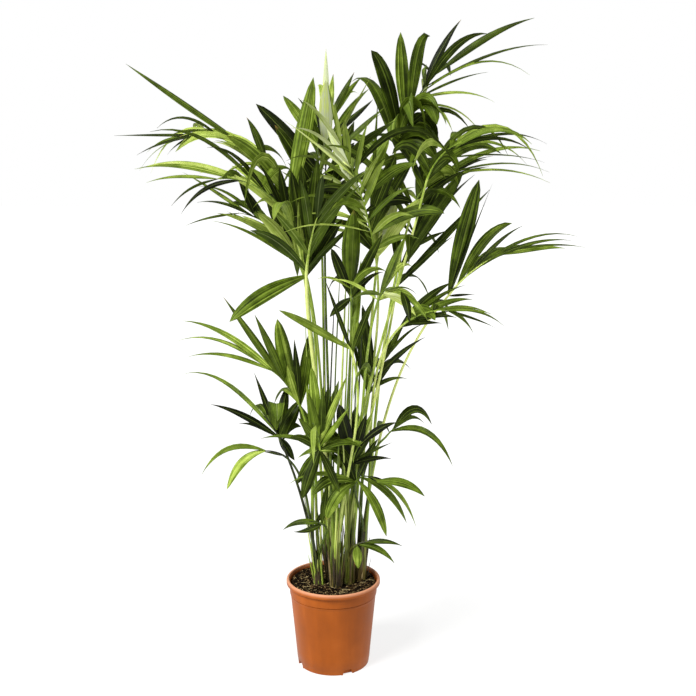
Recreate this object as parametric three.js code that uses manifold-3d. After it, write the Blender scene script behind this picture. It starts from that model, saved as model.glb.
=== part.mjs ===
// A kentia palm in its nursery pot: five seedlings planted together, each a short stem of leaf sheaths
// that carries long stalks, and on each stalk one feathered frond. Millimetres, +Z up, the origin under the
// middle of the pot. The fronds are worked out from the sizes in the table below: a rib that arches over,
// and two rows of leaflets whose angle, length and droop change from the throat of the frond to its tip.

import * as THREE from 'three';
import { mergeVertices } from 'three/addons/utils/BufferGeometryUtils.js';
import Module from 'manifold-3d';

const wasm = await Module();
wasm.setup();

const GAP = 0.3;

// Pot, a straight-walled cone with a neck band and a rolled lip
const POT_HEIGHT = 226;
const POT_WALL = 2.4;
const POT_FOOT_RADIUS = 91.5;
const POT_NECK_RADIUS = 110.5;
const POT_STEP = 1.4;
const POT_LIP_RADIUS = 120;
const POT_LIP_HEIGHT = 12;
const POT_NECK_HEIGHT = 17;
const POT_LIP_INNER_RADIUS = 113.5;
const POT_LIP_ROUND = 4;
const POT_LIP_EDGE = 1.2;
const POT_FOOT_EDGE = 2;
const POT_FLOOR = 3;
const POT_SIDES = 40;

// Drain notches in the foot
const NOTCH_COUNT = 4;
const NOTCH_FIRST_AT = -156;
const NOTCH_TOP_WIDTH = 18;
const NOTCH_FOOT_WIDTH = 28;
const NOTCH_HEIGHT = 13;
const NOTCH_DEPTH = 9;
const NOTCH_SHELL = 2.5;
const CUT_PAST = 0.01;

// Soil
const SOIL_TOP = 212;
const SOIL_EDGE_DROP = 4;
const SOIL_SHOULDER = 16;
const SOIL_FLAT_RADIUS = 96;

// Stems: foot on the soil, top of the stem, radii at the flare, at the foot and at the top
const STEMS = [
  { foot: [-36, -2], top: [-43, -4, 286], flare: 17, waist: 13.5, tip: 13 },
  { foot: [-6, 22], top: [-12, 24, 276], flare: 17, waist: 13.5, tip: 13 },
  { foot: [6, -22], top: [6, -26, 292], flare: 17, waist: 13.5, tip: 13 },
  { foot: [40, 0], top: [38, -2, 282], flare: 17, waist: 13.5, tip: 13 },
  { foot: [70, 18], top: [76, 16, 352], flare: 18, waist: 14.5, tip: 13.5 },
];
const STEM_SIDES = 10;
const STEM_FLARE_HEIGHT = 22;
const STEM_FLARE_POWER = 1.5;

// Stalks. The upright is how strongly a stalk leaves its stem straight up, the bend how long it follows
// the rib's own way.
const STALK_FOOT_RADIUS = 4.1;
const STALK_THROAT_RADIUS = 2.5;
const STALK_TAPER_POWER = 0.6;
const STALK_RING_MARGIN = 0.4;
const STALK_SIDES = 6;
const STALK_STEPS = 7;
const STALK_RISE = 0.4;
const STALK_UPRIGHT = 0.6;
const STALK_BEND = 0.3;
const STALK_CLEARANCE = 0.6;
const BOW_STEP = 5;
const BOW_TRIES = 9;
const BOW_WAYS = 8;

// Ribs and leaflets
const RIB_TIP_RADIUS = 1.1;
const RIB_SIDES = 4;
const RIB_STEPS = 5;
const RIB_FINE_STEPS = 24;
const ROW_START = { left: 0.55, right: 0.3 };
const LAST_LEAF_AT = 0.985;
const LEAF_LIFT = 12;
const LEAF_THICKNESS = 2.2;
const LEAF_STEP = 48;
const LEAF_STEPS = { least: 3, most: 5 };
const LEAF_WIDEST_AT = 0.42;
const LEAF_FOOT_SHARE = 0.2;
const LEAF_TIP_POWER = 0.75;
const DROOP_POWER = 1.6;

// How far one leaflet differs from the next: degrees, and shares of its size
const VARIES = {
  spread: [-4, 4],
  lift: [-8, 8],
  length: [0.95, 1.05],
  width: [0.88, 1.1],
  droop: [0.85, 1.15],
};

// Turns in spread and lift that a leaflet tries, in degrees, to find room among its neighbours
const NUDGES = [
  [0, 0], [0, 8], [0, -8], [6, 0], [-6, 0], [5, 14], [-5, -14],
  [0, 20], [0, -20], [9, -9], [-9, 9], [0, 30], [0, -30],
];

// A row of leaflets. Spread, length, width and droop are told at the throat, the middle and the tip of
// the rib, or once for all three.
function row(count, spread, length, width, droop, lift = LEAF_LIFT) {
  return { count, spread, length, width, droop, lift };
}

// A leaflet told by itself: its place along the rib (0 to 1), its side (1 left, -1 right), and its own sizes
function lone(at, side, spread, length, width, droop, lift = LEAF_LIFT) {
  return { at, side, spread, length, width, droop, lift };
}

// Fronds: the stem each grows from, the throat where the stalk ends and the leaflets begin, the way it
// points (azimuth from +X towards +Y), the rib's pitch at the throat and at the tip, its length, the turn
// of the frond about its rib, and the rows of leaflets on the rib's left and right.
const FRONDS = [
  // upper right
  {
    name: '01', stem: 4, throat: [154, 30, 1309], azimuth: 22, pitch: [76, 38], rib: 235, roll: 62,
    left: row(7, [38, 22, -4], [200, 185, 250], 25, [0.8, 0.6, 0.35]),
    right: row(6, [70, 45, 14], [150, 185, 275], 20, [0.9, 0.9, 0.6]),
  },
  {
    name: '02', stem: 2, throat: [218, -70, 1220], azimuth: -38, pitch: [74, 18], rib: 145, roll: 20,
    left: row(5, [60, 35, 10], [110, 200, 260], 20, [1.2, 1.6, 1.5]),
    right: row(5, [70, 45, 15], [130, 220, 250], 20, 1.6),
  },
  {
    name: '03', stem: 4, throat: [192, 0, 1157], azimuth: 30, pitch: [72, 22], rib: 122, roll: 45,
    left: row(5, [95, 40, 5], [190, 160, 285], 20, [1, 0.8, 1.2]),
    right: row(4, [38, 15, -5], [175, 240, 300], 19, 1.2),
  },
  {
    name: '04', stem: 3, throat: [154, -20, 970], azimuth: 40, pitch: [80, 50], rib: 150, roll: 35,
    left: row(3, [25, 15, 5], [180, 220, 240], 28, 0.3),
    right: row(3, [34, 20, 6], [190, 260, 270], 27, 0.3),
  },
  {
    name: '05', stem: 4, throat: [282, -10, 954], azimuth: -16, pitch: [54, 22], rib: 190, roll: 62,
    upright: 0.2,
    left: row(4, [16, 4, -6], [180, 180, 180], [24, 20, 17], [0.5, 0.6, 0.8]),
    right: row(3, [12, 8, 4], [150, 165, 190], 18, 0.8),
    extra: [lone(0.08, 1, 30, 285, 32, 0.2)],
  },
  {
    name: '06', stem: 4, throat: [162, -80, 888], azimuth: -32, pitch: [42, 0], rib: 142, roll: 40,
    left: row(5, [48, 15, 0], [120, 120, 130], 17, 0.6),
    right: row(5, [50, 25, 5], [110, 120, 140], 17, 1.3),
  },
  {
    name: '07', stem: 3, throat: [108, -120, 958], azimuth: -65, pitch: [50, -20], rib: 130, roll: 0,
    left: row(3, [60, 35, 15], [100, 120, 110], 18, 1),
    right: row(3, [60, 35, 15], [100, 110, 100], 18, 1),
  },
  // low right
  {
    name: '08', stem: 4, throat: [133, 20, 591], azimuth: 28, pitch: [46, 22], rib: 50, roll: 10,
    left: row(2, [25, 15, 5], [130, 135, 140], 22, 1.9),
    right: row(2, [35, 25, 8], [140, 165, 200], 18, 2.2),
  },
  {
    name: '10', stem: 4, throat: [57, -60, 498], azimuth: -55, pitch: [50, -20], rib: 95, roll: 0,
    left: row(5, [75, 60, 15], [130, 165, 150], 21, 1.5),
    right: row(4, [80, 60, 15], [150, 140, 130], 23, 1.6),
  },
  {
    name: '11', stem: 3, throat: [58, -50, 331], azimuth: -15, pitch: [35, 0], rib: 45, roll: 0,
    left: row(2, [50, 30, 12], [60, 80, 90], 14, 0.4),
    right: row(3, [90, 40, 12], [70, 80, 90], 17, 1.2),
  },
  // upper left
  {
    name: '12', stem: 1, throat: [-101, -20, 1174], azimuth: 168, pitch: [76, -12], rib: 335, roll: -30,
    left: row(8, [60, 45, 12], [180, 190, 200], 18, 1.3),
    right: row(7, [55, 32, 12], [150, 170, 205], 19, [0.7, 0.7, 0.1]),
    extra: [lone(0.47, -1, -1, 380, 17, 0.03, 30)],
  },
  {
    name: '13', stem: 1, throat: [-92, -60, 1117], azimuth: 214, pitch: [68, -6], rib: 250, roll: -38,
    left: row(6, [60, 40, 10], [150, 160, 160], 18, 0.8),
    right: row(7, [55, 35, 8], [160, 170, 175], 19, 0.6),
  },
  {
    name: '14', stem: 0, throat: [-81, 30, 1026], azimuth: 148, pitch: [62, 4], rib: 235, roll: -32,
    left: row(6, [45, 35, 12], [120, 150, 150], 20, 1.1),
    right: row(6, [60, 40, 12], [160, 170, 150], 20, 1),
  },
  // top of the middle
  {
    name: '16', stem: 1, throat: [-28, 40, 1148], azimuth: 100, pitch: [82, 58], rib: 190, roll: 0,
    left: row(3, [55, 48, 40], [135, 150, 155], 30, 0.3),
    right: row(4, [50, 30, -2], [130, 155, 195], 28, 0.3),
  },
  {
    name: '17', stem: 2, throat: [-20, 90, 1145], azimuth: 87, pitch: [82, 50], rib: 255, roll: 0,
    left: row(5, [50, 28, 0], [160, 160, 285], 22, [0.3, 0.3, 0.1]),
    right: row(6, [58, 46, 26], [170, 195, 200], 19, 0.35),
  },
  {
    name: '18', stem: 3, throat: [105, -20, 1047], azimuth: -130, pitch: [76, 52], rib: 300, roll: 0,
    left: row(7, [60, 35, 10], [160, 180, 130], 19, [0.8, 0.5, 0.3]),
    right: row(7, [55, 35, 8], [190, 220, 160], 17, [1.2, 1, 0.8]),
  },
  {
    name: '19', stem: 1, throat: [-62, -60, 1008], azimuth: -70, pitch: [76, 42], rib: 170, roll: 0,
    left: row(5, [35, 30, 10], [190, 190, 200], 22, 0.4),
    right: row(4, [50, 30, 10], [170, 160, 170], 20, 0.7),
    extra: [lone(0.06, -1, 125, 215, 27, 0.3)],
  },
  // middle
  {
    name: '21', stem: 2, throat: [45, -60, 955], azimuth: -95, pitch: [78, 60], rib: 50, roll: 0,
    left: row(1, 8, 215, 48, 0.2),
    right: row(2, [65, 40, 10], [120, 150, 150], 18, 1.3),
  },
  {
    name: '22', stem: 2, throat: [47, -100, 829], azimuth: 190, pitch: [74, 26], rib: 40, roll: -20,
    left: row(1, -3, 175, 27, 0.3),
    right: row(1, 20, 120, 17, 0.8),
  },
  {
    name: '29', stem: 3, throat: [87, -10, 707], azimuth: 42, pitch: [66, 50], rib: 90, roll: 30,
    left: row(3, [30, 15, 5], [110, 150, 180], 17, 0.4),
    right: row(3, [36, 20, 5], [110, 130, 170], 17, 0.6),
  },
  // middle left
  {
    name: '23', stem: 0, throat: [-82, -10, 679], azimuth: 160, pitch: [64, 26], rib: 150, roll: -72,
    left: row(4, [26, 14, 4], [215, 205, 185], 16, [0.3, 0.3, 0.3]),
    right: row(5, [36, 30, 8], [165, 195, 205], 20, 0.12),
  },
  {
    name: '24', stem: 0, throat: [-137, 20, 591], azimuth: 200, pitch: [66, 48], rib: 70, roll: -70,
    left: row(3, [50, 28, 12], [115, 160, 235], 20, 0.5),
    right: row(2, [26, 10, 5], [140, 140, 130], 24, 0.2),
  },
  {
    name: '25', stem: 0, throat: [-121, -30, 556], azimuth: 206, pitch: [36, 8], rib: 55, roll: 0,
    left: row(3, [50, 30, 12], [70, 150, 160], [14, 20, 24], 1.9),
    right: row(2, [50, 25, 10], [80, 130, 180], 17, 1.3),
  },
  {
    name: '26', stem: 0, throat: [-27, -60, 390], azimuth: 200, pitch: [30, 0], rib: 40, roll: 0,
    left: row(2, [60, 30, 12], [60, 80, 80], 14, 0.9),
    right: row(2, [50, 30, 12], [60, 80, 90], 14, 0.9),
  },
  // low middle
  {
    name: '27', stem: 1, throat: [-30, -100, 591], azimuth: -110, pitch: [80, 40], rib: 90, roll: 0,
    left: row(3, [50, 20, 5], [120, 160, 180], 20, 0.4),
    right: row(4, [70, 50, 10], [130, 130, 130], 22, 1),
  },
  {
    name: '15', stem: 2, throat: [48, -40, 538], azimuth: -60, pitch: [75, 30], rib: 90, roll: 0,
    left: row(3, [70, 40, 10], [110, 120, 130], 19, 0.6),
    right: row(4, [45, 20, 5], [140, 150, 140], 26, 0.5),
  },
];

// Colours
const TERRACOTTA = 0xc06a32;
const PEAT = 0x3c2d1e;
const SHEATH = 0x8a7440;
const STALK = 0xa0b450;
const LEAF = 0x4b6414;

// A triangle's half width and height, where its corners lie one away from its middle
const TRIANGLE_HALF_WIDTH = Math.cos(Math.PI / 6);
const TRIANGLE_HEIGHT = 1.5;

const UP = new THREE.Vector3(0, 0, 1);
const vector = (values) => new THREE.Vector3(...values);
const radians = THREE.MathUtils.degToRad;
const clamp = THREE.MathUtils.clamp;

// The same draws on every run: a linear congruential generator
const DRAW_SPAN = 2 ** 32;

function makeDraw(seed) {
  let state = seed * 7919 + 17;
  const draw = ([low, high]) => {
    state = (state * 1664525 + 1013904223) % DRAW_SPAN;
    return low + ((high - low) * state) / DRAW_SPAN;
  };
  draw([0, 1]);
  return draw;
}

// A size told at the base, the middle and the tip, or one size all along
function along(values, share) {
  if (!Array.isArray(values)) {
    return values;
  }
  const [first, middle, last] = values;
  if (share < 0.5) {
    return first + (middle - first) * share * 2;
  }
  return middle + (last - middle) * (share * 2 - 1);
}

function heading(azimuth, pitch) {
  const a = radians(azimuth);
  const p = radians(pitch);
  return new THREE.Vector3(Math.cos(a) * Math.cos(p), Math.sin(a) * Math.cos(p), Math.sin(p));
}

// Solids as manifolds, and back
function toSolid(geometry) {
  geometry.deleteAttribute('normal');
  geometry.deleteAttribute('uv');
  const merged = mergeVertices(geometry);
  const vertProperties = new Float32Array(merged.attributes.position.array);
  const triVerts = new Uint32Array(merged.index.array);
  return new wasm.Manifold(new wasm.Mesh({ numProp: 3, vertProperties, triVerts }));
}

function toMesh(name, solid, color, roughness) {
  const shape = solid.getMesh();
  const geometry = new THREE.BufferGeometry();
  geometry.setAttribute('position', new THREE.BufferAttribute(new Float32Array(shape.vertProperties), 3));
  geometry.setIndex(new THREE.BufferAttribute(new Uint32Array(shape.triVerts), 1));
  geometry.computeVertexNormals();
  const material = new THREE.MeshStandardMaterial({ color, roughness, metalness: 0 });
  const mesh = new THREE.Mesh(geometry, material);
  mesh.name = name;
  return mesh;
}

// A closed solid whose rings lie along a path. Each ring has a centre, two directions, and its reach along
// each of the two.
function sweep(rings, sides, pointed) {
  const last = rings.length - 1;
  const tip = pointed ? 0 : 1;
  const shape = new THREE.CylinderGeometry(tip, 1, 1, sides, last);
  const place = shape.attributes.position;
  const spot = new THREE.Vector3();
  for (let i = 0; i < place.count; i++) {
    const ring = rings[Math.round((place.getY(i) + 0.5) * last)];
    const reach = Math.hypot(place.getX(i), place.getZ(i));
    const scale = reach > 1e-6 ? 1 / reach : 0;
    spot.copy(ring.centre);
    spot.addScaledVector(ring.across, place.getX(i) * scale * ring.wide);
    spot.addScaledVector(ring.over, place.getZ(i) * scale * ring.thick);
    place.setXYZ(i, spot.x, spot.y, spot.z);
  }
  return toSolid(shape);
}

function roundRing(centre, forward, side, radius) {
  const across = side.clone().addScaledVector(forward, -side.dot(forward)).normalize();
  return { centre, across, over: across.clone().cross(forward), wide: radius, thick: radius };
}

// Pot
function lathe(points, sides) {
  const outline = points.map(([radius, height]) => new THREE.Vector2(radius, height));
  const shape = new THREE.LatheGeometry(outline, sides);
  shape.rotateX(Math.PI / 2);
  return toSolid(shape);
}

// Radius of the plain wall at a height, from the foot to the neck
function wallRadius(height) {
  const neckFoot = POT_HEIGHT - POT_LIP_HEIGHT - POT_NECK_HEIGHT;
  return POT_FOOT_RADIUS + ((POT_NECK_RADIUS - POT_FOOT_RADIUS) * height) / neckFoot;
}

function makePot() {
  const lipFoot = POT_HEIGHT - POT_LIP_HEIGHT;
  const neckFoot = lipFoot - POT_NECK_HEIGHT;
  const neckRadius = POT_NECK_RADIUS + POT_STEP;
  const outside = [
    [0, 0],
    [POT_FOOT_RADIUS - POT_FOOT_EDGE, 0],
    [wallRadius(POT_FOOT_EDGE), POT_FOOT_EDGE],
    [wallRadius(neckFoot), neckFoot],
    [neckRadius, neckFoot + POT_STEP],
    [wallRadius(lipFoot) + POT_STEP, lipFoot],
    [POT_LIP_RADIUS - POT_LIP_EDGE, lipFoot],
    [POT_LIP_RADIUS, lipFoot + POT_LIP_EDGE],
    [POT_LIP_RADIUS, POT_HEIGHT - POT_LIP_ROUND],
    [POT_LIP_RADIUS - POT_LIP_EDGE, POT_HEIGHT - POT_LIP_EDGE],
    [POT_LIP_RADIUS - POT_LIP_ROUND, POT_HEIGHT],
  ];
  const inside = [
    [POT_LIP_INNER_RADIUS, POT_HEIGHT - POT_LIP_EDGE],
    [wallRadius(lipFoot) - POT_WALL + POT_STEP, POT_HEIGHT - POT_LIP_ROUND - POT_LIP_EDGE],
    [wallRadius(neckFoot) - POT_WALL, neckFoot],
    [wallRadius(POT_FLOOR) - POT_WALL, POT_FLOOR],
    [0, POT_FLOOR],
  ];
  let pot = lathe([...outside, ...inside], POT_SIDES);
  const end = POT_FOOT_RADIUS - POT_WALL / 4;
  for (const turn of notchTurns()) {
    pot = pot.add(notchBlock(NOTCH_SHELL, end).rotate([0, 0, turn]));
    pot = pot.subtract(notchBlock(0, POT_LIP_RADIUS).translate([0, 0, -CUT_PAST]).rotate([0, 0, turn]));
  }
  return pot;
}

function notchTurns() {
  return Array.from({ length: NOTCH_COUNT }, (_, i) => NOTCH_FIRST_AT + (i * 360) / NOTCH_COUNT);
}

// The room of one drain notch on the +X side, with slanted sides, grown by a margin and ending at a radius
function notchBlock(margin, end) {
  const foot = NOTCH_FOOT_WIDTH / 2 + margin;
  const top = NOTCH_TOP_WIDTH / 2 + margin;
  const height = NOTCH_HEIGHT + margin;
  const back = POT_FOOT_RADIUS - NOTCH_DEPTH - margin;
  const outline = new THREE.Shape();
  outline.moveTo(-foot, 0);
  outline.lineTo(foot, 0);
  outline.lineTo(top, height);
  outline.lineTo(-top, height);
  outline.closePath();
  const shape = new THREE.ExtrudeGeometry(outline, { depth: end - back, bevelEnabled: false, steps: 1 });
  shape.rotateX(Math.PI / 2);
  shape.rotateZ(Math.PI / 2);
  return toSolid(shape).translate([back, 0, 0]);
}

function makeSoil() {
  const edge = SOIL_TOP - SOIL_EDGE_DROP;
  const shoulder = edge - SOIL_SHOULDER;
  const inside = (height) => wallRadius(height) - POT_WALL - GAP;
  const outline = [
    [0, POT_FLOOR + GAP],
    [inside(POT_FLOOR), POT_FLOOR + GAP],
    [inside(shoulder), shoulder],
    [inside(shoulder), edge],
    [SOIL_FLAT_RADIUS, SOIL_TOP],
    [0, SOIL_TOP],
  ];
  let soil = lathe(outline, POT_SIDES);
  for (const turn of notchTurns()) {
    soil = soil.subtract(notchBlock(NOTCH_SHELL + GAP, POT_LIP_RADIUS).rotate([0, 0, turn]));
  }
  return soil;
}

// Stems
function makeStem(stem) {
  const foot = new THREE.Vector3(...stem.foot, SOIL_TOP + GAP);
  const top = vector(stem.top);
  const height = top.z - foot.z;
  const levels = [0, STEM_FLARE_HEIGHT / 3, STEM_FLARE_HEIGHT, height / 2, height];
  const side = new THREE.Vector3(1, 0, 0);
  const rings = levels.map((level) => {
    const flare = Math.max(0, 1 - level / STEM_FLARE_HEIGHT) ** STEM_FLARE_POWER;
    const taper = stem.waist + ((stem.tip - stem.waist) * level) / height;
    const centre = foot.clone().lerp(top, level / height);
    return roundRing(centre, UP, side, taper + (stem.flare - stem.waist) * flare);
  });
  return sweep(rings, STEM_SIDES, false);
}

// Where each stalk stands on its stem: evenly round the top, in the order in which the throats lie round it
function stalkFeet(index) {
  const stem = STEMS[index];
  const grown = FRONDS.filter((frond) => frond.stem === index);
  const bearing = (frond) => Math.atan2(frond.throat[1] - stem.top[1], frond.throat[0] - stem.top[0]);
  grown.sort((a, b) => bearing(a) - bearing(b));
  const ring = stem.tip - STALK_FOOT_RADIUS - STALK_RING_MARGIN;
  const first = bearing(grown[0]);
  const feet = new Map();
  grown.forEach((frond, i) => {
    const angle = first + (i * 2 * Math.PI) / grown.length;
    const x = stem.top[0] + ring * Math.cos(angle);
    const y = stem.top[1] + ring * Math.sin(angle);
    feet.set(frond.name, new THREE.Vector3(x, y, stem.top[2] + GAP));
  });
  return feet;
}

// The rib: short chords whose pitch changes evenly from the throat to the tip
function ribPath(frond, steps) {
  const points = [vector(frond.throat)];
  const ways = [heading(frond.azimuth, frond.pitch[0])];
  const bend = frond.pitch[1] - frond.pitch[0];
  for (let k = 0; k < steps; k++) {
    const chord = heading(frond.azimuth, frond.pitch[0] + (bend * (k + 0.5)) / steps);
    points.push(points[k].clone().addScaledVector(chord, frond.rib / steps));
    ways.push(heading(frond.azimuth, frond.pitch[0] + (bend * (k + 1)) / steps));
  }
  return { points, ways };
}

function stalkCurve(frond, foot, bow) {
  const way = heading(frond.azimuth, frond.pitch[0]);
  const throat = vector(frond.throat).addScaledVector(way, -GAP);
  const span = throat.distanceTo(foot);
  const rise = throat.clone().sub(foot).normalize();
  rise.z += frond.upright ?? STALK_UPRIGHT;
  const low = foot.clone().addScaledVector(rise.normalize(), span * STALK_RISE).add(bow);
  const high = throat.clone().addScaledVector(way, -span * STALK_BEND).add(bow);
  return new THREE.CubicBezierCurve3(foot.clone(), low, high, throat);
}

function stalkRadius(share) {
  return STALK_FOOT_RADIUS + (STALK_THROAT_RADIUS - STALK_FOOT_RADIUS) * share ** STALK_TAPER_POWER;
}

// The curve as the chords that the solid follows, each with the radius at its thicker end
function chords(points, radiusAt) {
  return points.slice(1).map((to, k) => ({ from: points[k], to, radius: radiusAt(k / (points.length - 1)) }));
}

// Least distance between two chords
function chordDistance(a, b) {
  const chordA = a.to.clone().sub(a.from);
  const chordB = b.to.clone().sub(b.from);
  const between = a.from.clone().sub(b.from);
  const aa = chordA.dot(chordA);
  const bb = chordB.dot(chordB);
  const ab = chordA.dot(chordB);
  const ad = chordA.dot(between);
  const bd = chordB.dot(between);
  const spread = aa * bb - ab * ab;
  let onA = spread > 1e-9 ? clamp((ab * bd - ad * bb) / spread, 0, 1) : 0;
  const onB = clamp((ab * onA + bd) / bb, 0, 1);
  onA = clamp((ab * onB - ad) / aa, 0, 1);
  return between.addScaledVector(chordA, onA).addScaledVector(chordB, -onB).length();
}

// The room between a run of chords and every run already placed
function room(run, placed) {
  let least = Infinity;
  for (const other of placed) {
    for (const a of run) {
      for (const b of other) {
        least = Math.min(least, chordDistance(a, b) - a.radius - b.radius);
      }
    }
  }
  return least;
}

// Bows to try: none, then ever wider ones all round
function bows() {
  const tries = [new THREE.Vector3()];
  for (let step = 1; step <= BOW_TRIES; step++) {
    for (let way = 0; way < BOW_WAYS; way++) {
      tries.push(heading((way * 360) / BOW_WAYS, 0).multiplyScalar(step * BOW_STEP));
    }
  }
  return tries;
}

// Each stalk keeps its plain curve, or bows aside by the smallest step that clears what is already there
function placeStalks() {
  const feet = new Map(STEMS.flatMap((stem, index) => [...stalkFeet(index)]));
  const placed = FRONDS.map((frond) => chords(ribPath(frond, RIB_STEPS).points, () => STALK_THROAT_RADIUS));
  const curves = new Map();
  FRONDS.forEach((frond, index) => {
    const others = placed.filter((run, k) => k !== index);
    const options = bows().map((bow) => stalkCurve(frond, feet.get(frond.name), bow));
    const runs = options.map((curve) => chords(curve.getPoints(STALK_STEPS), stalkRadius));
    const rooms = runs.map((run) => room(run, others));
    const clear = rooms.findIndex((one) => one > STALK_CLEARANCE);
    const chosen = clear >= 0 ? clear : rooms.indexOf(Math.max(...rooms));
    curves.set(frond.name, options[chosen]);
    placed.push(runs[chosen]);
  });
  return curves;
}

function makeStalk(frond, curve) {
  const side = heading(frond.azimuth + 90, 0);
  const way = heading(frond.azimuth, frond.pitch[0]);
  const rings = [];
  for (let k = 0; k <= STALK_STEPS; k++) {
    const share = k / STALK_STEPS;
    const inner = k < STALK_STEPS ? curve.getTangent(share) : way;
    rings.push(roundRing(curve.getPoint(share), k > 0 ? inner : UP, side, stalkRadius(share)));
  }
  return sweep(rings, STALK_SIDES, false);
}

function makeRib(frond) {
  const { points, ways } = ribPath(frond, RIB_STEPS);
  const side = heading(frond.azimuth + 90, 0);
  const taper = RIB_TIP_RADIUS - STALK_THROAT_RADIUS;
  const rings = points.map((centre, k) => {
    return roundRing(centre, ways[k], side, STALK_THROAT_RADIUS + (taper * k) / RIB_STEPS);
  });
  return sweep(rings, RIB_SIDES, false);
}

// Half the leaflet's outline: narrow at the rib, widest past a third, drawn out to a point
function leafHalfWidth(share) {
  const grow = Math.min(1, share / LEAF_WIDEST_AT);
  const rise = LEAF_FOOT_SHARE + (1 - LEAF_FOOT_SHARE) * Math.sin((grow * Math.PI) / 2);
  if (share < LEAF_WIDEST_AT) {
    return 0.5 * rise;
  }
  const past = (share - LEAF_WIDEST_AT) / (1 - LEAF_WIDEST_AT);
  return 0.5 * rise * Math.cos((past * Math.PI) / 2) ** LEAF_TIP_POWER;
}

// All leaflets of a frond: where each starts, the way it points, the blade's upper side, and its sizes
function leafPlan(frond) {
  const draw = makeDraw(Number(frond.name) + 1);
  const { points, ways } = ribPath(frond, RIB_FINE_STEPS);
  const plan = [];
  const add = (at, side, spreadAngle, liftAngle, length, width, droop) => {
    const place = Math.min(LAST_LEAF_AT, at) * RIB_FINE_STEPS;
    const k = Math.floor(place);
    const origin = points[k].clone().lerp(points[k + 1], place - k);
    const forward = ways[k].clone().lerp(ways[k + 1], place - k).normalize();
    plan.push({ origin, forward, side, spreadAngle, liftAngle, length, width, droop });
  };
  for (const [side, rows] of [[1, frond.left], [-1, frond.right]]) {
    for (let i = 0; i < rows.count; i++) {
      const start = side > 0 ? ROW_START.left : ROW_START.right;
      const at = i < rows.count - 1 ? (i + start) / rows.count : 1;
      const share = i / Math.max(1, rows.count - 1);
      const spreadAngle = along(rows.spread, share) + draw(VARIES.spread);
      const liftAngle = rows.lift + draw(VARIES.lift);
      const length = along(rows.length, share) * draw(VARIES.length);
      const droop = along(rows.droop, share) * draw(VARIES.droop);
      const width = along(rows.width, share) * draw(VARIES.width);
      add(at, side, spreadAngle, liftAngle, length, width, droop);
    }
  }
  for (const one of frond.extra ?? []) {
    add(one.at, one.side, one.spread, one.lift, one.length, one.width, one.droop);
  }
  return plan;
}

function leafFrame(frond, leaf, spreadMore, liftMore) {
  const flat = UP.clone().cross(leaf.forward).normalize();
  const above = leaf.forward.clone().cross(flat);
  const roll = radians(frond.roll);
  const across = flat.multiplyScalar(Math.cos(roll)).addScaledVector(above, Math.sin(roll));
  const over = leaf.forward.clone().cross(across);
  const spread = radians(leaf.spreadAngle + spreadMore);
  const lift = radians(leaf.liftAngle + liftMore);
  const out = across.multiplyScalar(leaf.side * Math.cos(lift)).addScaledVector(over, Math.sin(lift));
  const way = leaf.forward.clone().multiplyScalar(Math.cos(spread)).addScaledVector(out, Math.sin(spread));
  return { way: way.normalize(), over };
}

// One leaflet: a blade with a keel below, which droops more towards its tip
function makeLeaf(frond, leaf, nudge, margin) {
  const { way, over } = leafFrame(frond, leaf, nudge[0], nudge[1]);
  const steps = clamp(Math.round(leaf.length / LEAF_STEP), LEAF_STEPS.least, LEAF_STEPS.most);
  const thickness = Math.max(LEAF_THICKNESS, leaf.length / 100);
  const at = leaf.origin.clone();
  const rings = [];
  let normal = over;
  for (let k = 0; k <= steps; k++) {
    const share = k / steps;
    if (k > 0) {
      const step = way.clone();
      step.z -= leaf.droop * ((k - 0.5) / steps) ** DROOP_POWER;
      at.addScaledVector(step.normalize(), leaf.length / steps);
    }
    const forward = way.clone();
    forward.z -= leaf.droop * share ** DROOP_POWER;
    forward.normalize();
    normal = normal.clone().addScaledVector(forward, -normal.dot(forward)).normalize();
    const keel = normal.clone().negate();
    const across = forward.clone().cross(keel);
    const wide = (leaf.width * leafHalfWidth(share) + margin) / TRIANGLE_HALF_WIDTH;
    const thick = (thickness * (1 - share / 2) + 2 * margin) / TRIANGLE_HEIGHT;
    rings.push({ centre: at.clone(), across, over: keel, wide, thick });
  }
  return sweep(rings, 3, true);
}

function boxesMeet(a, b) {
  return [0, 1, 2].every((k) => a.min[k] <= b.max[k] && b.min[k] <= a.max[k]);
}

function meets(solid, others) {
  const box = solid.boundingBox();
  for (const other of others) {
    if (boxesMeet(box, other.box) && solid.intersect(other.solid).volume() > 0) {
      return true;
    }
  }
  return false;
}

// A frond: its rib and the leaflets that find room among what is already there
function makeFrond(frond, taken) {
  const rib = makeRib(frond);
  let whole = rib;
  const own = [];
  for (const leaf of leafPlan(frond)) {
    const nudge = NUDGES.find((one) => !meets(makeLeaf(frond, leaf, one, GAP), taken));
    if (nudge) {
      const blade = makeLeaf(frond, leaf, nudge, 0);
      whole = whole.add(blade);
      own.push({ solid: blade, box: blade.boundingBox() });
    }
  }
  taken.push(...own);
  return whole;
}

const plant = new THREE.Group();
const pot = makePot();
const soil = makeSoil();
plant.add(toMesh('pot', pot, TERRACOTTA, 0.45));
plant.add(toMesh('soil', soil, PEAT, 0.95));

const taken = [pot, soil].map((solid) => ({ solid, box: solid.boundingBox() }));
STEMS.forEach((stem, index) => {
  const solid = makeStem(stem);
  taken.push({ solid, box: solid.boundingBox() });
  plant.add(toMesh(`stem_${index + 1}`, solid, SHEATH, 0.7));
});

const curves = placeStalks();
for (const frond of FRONDS) {
  const solid = makeStalk(frond, curves.get(frond.name));
  taken.push({ solid, box: solid.boundingBox() });
  plant.add(toMesh(`petiole_${frond.name}`, solid, STALK, 0.5));
}

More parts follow.
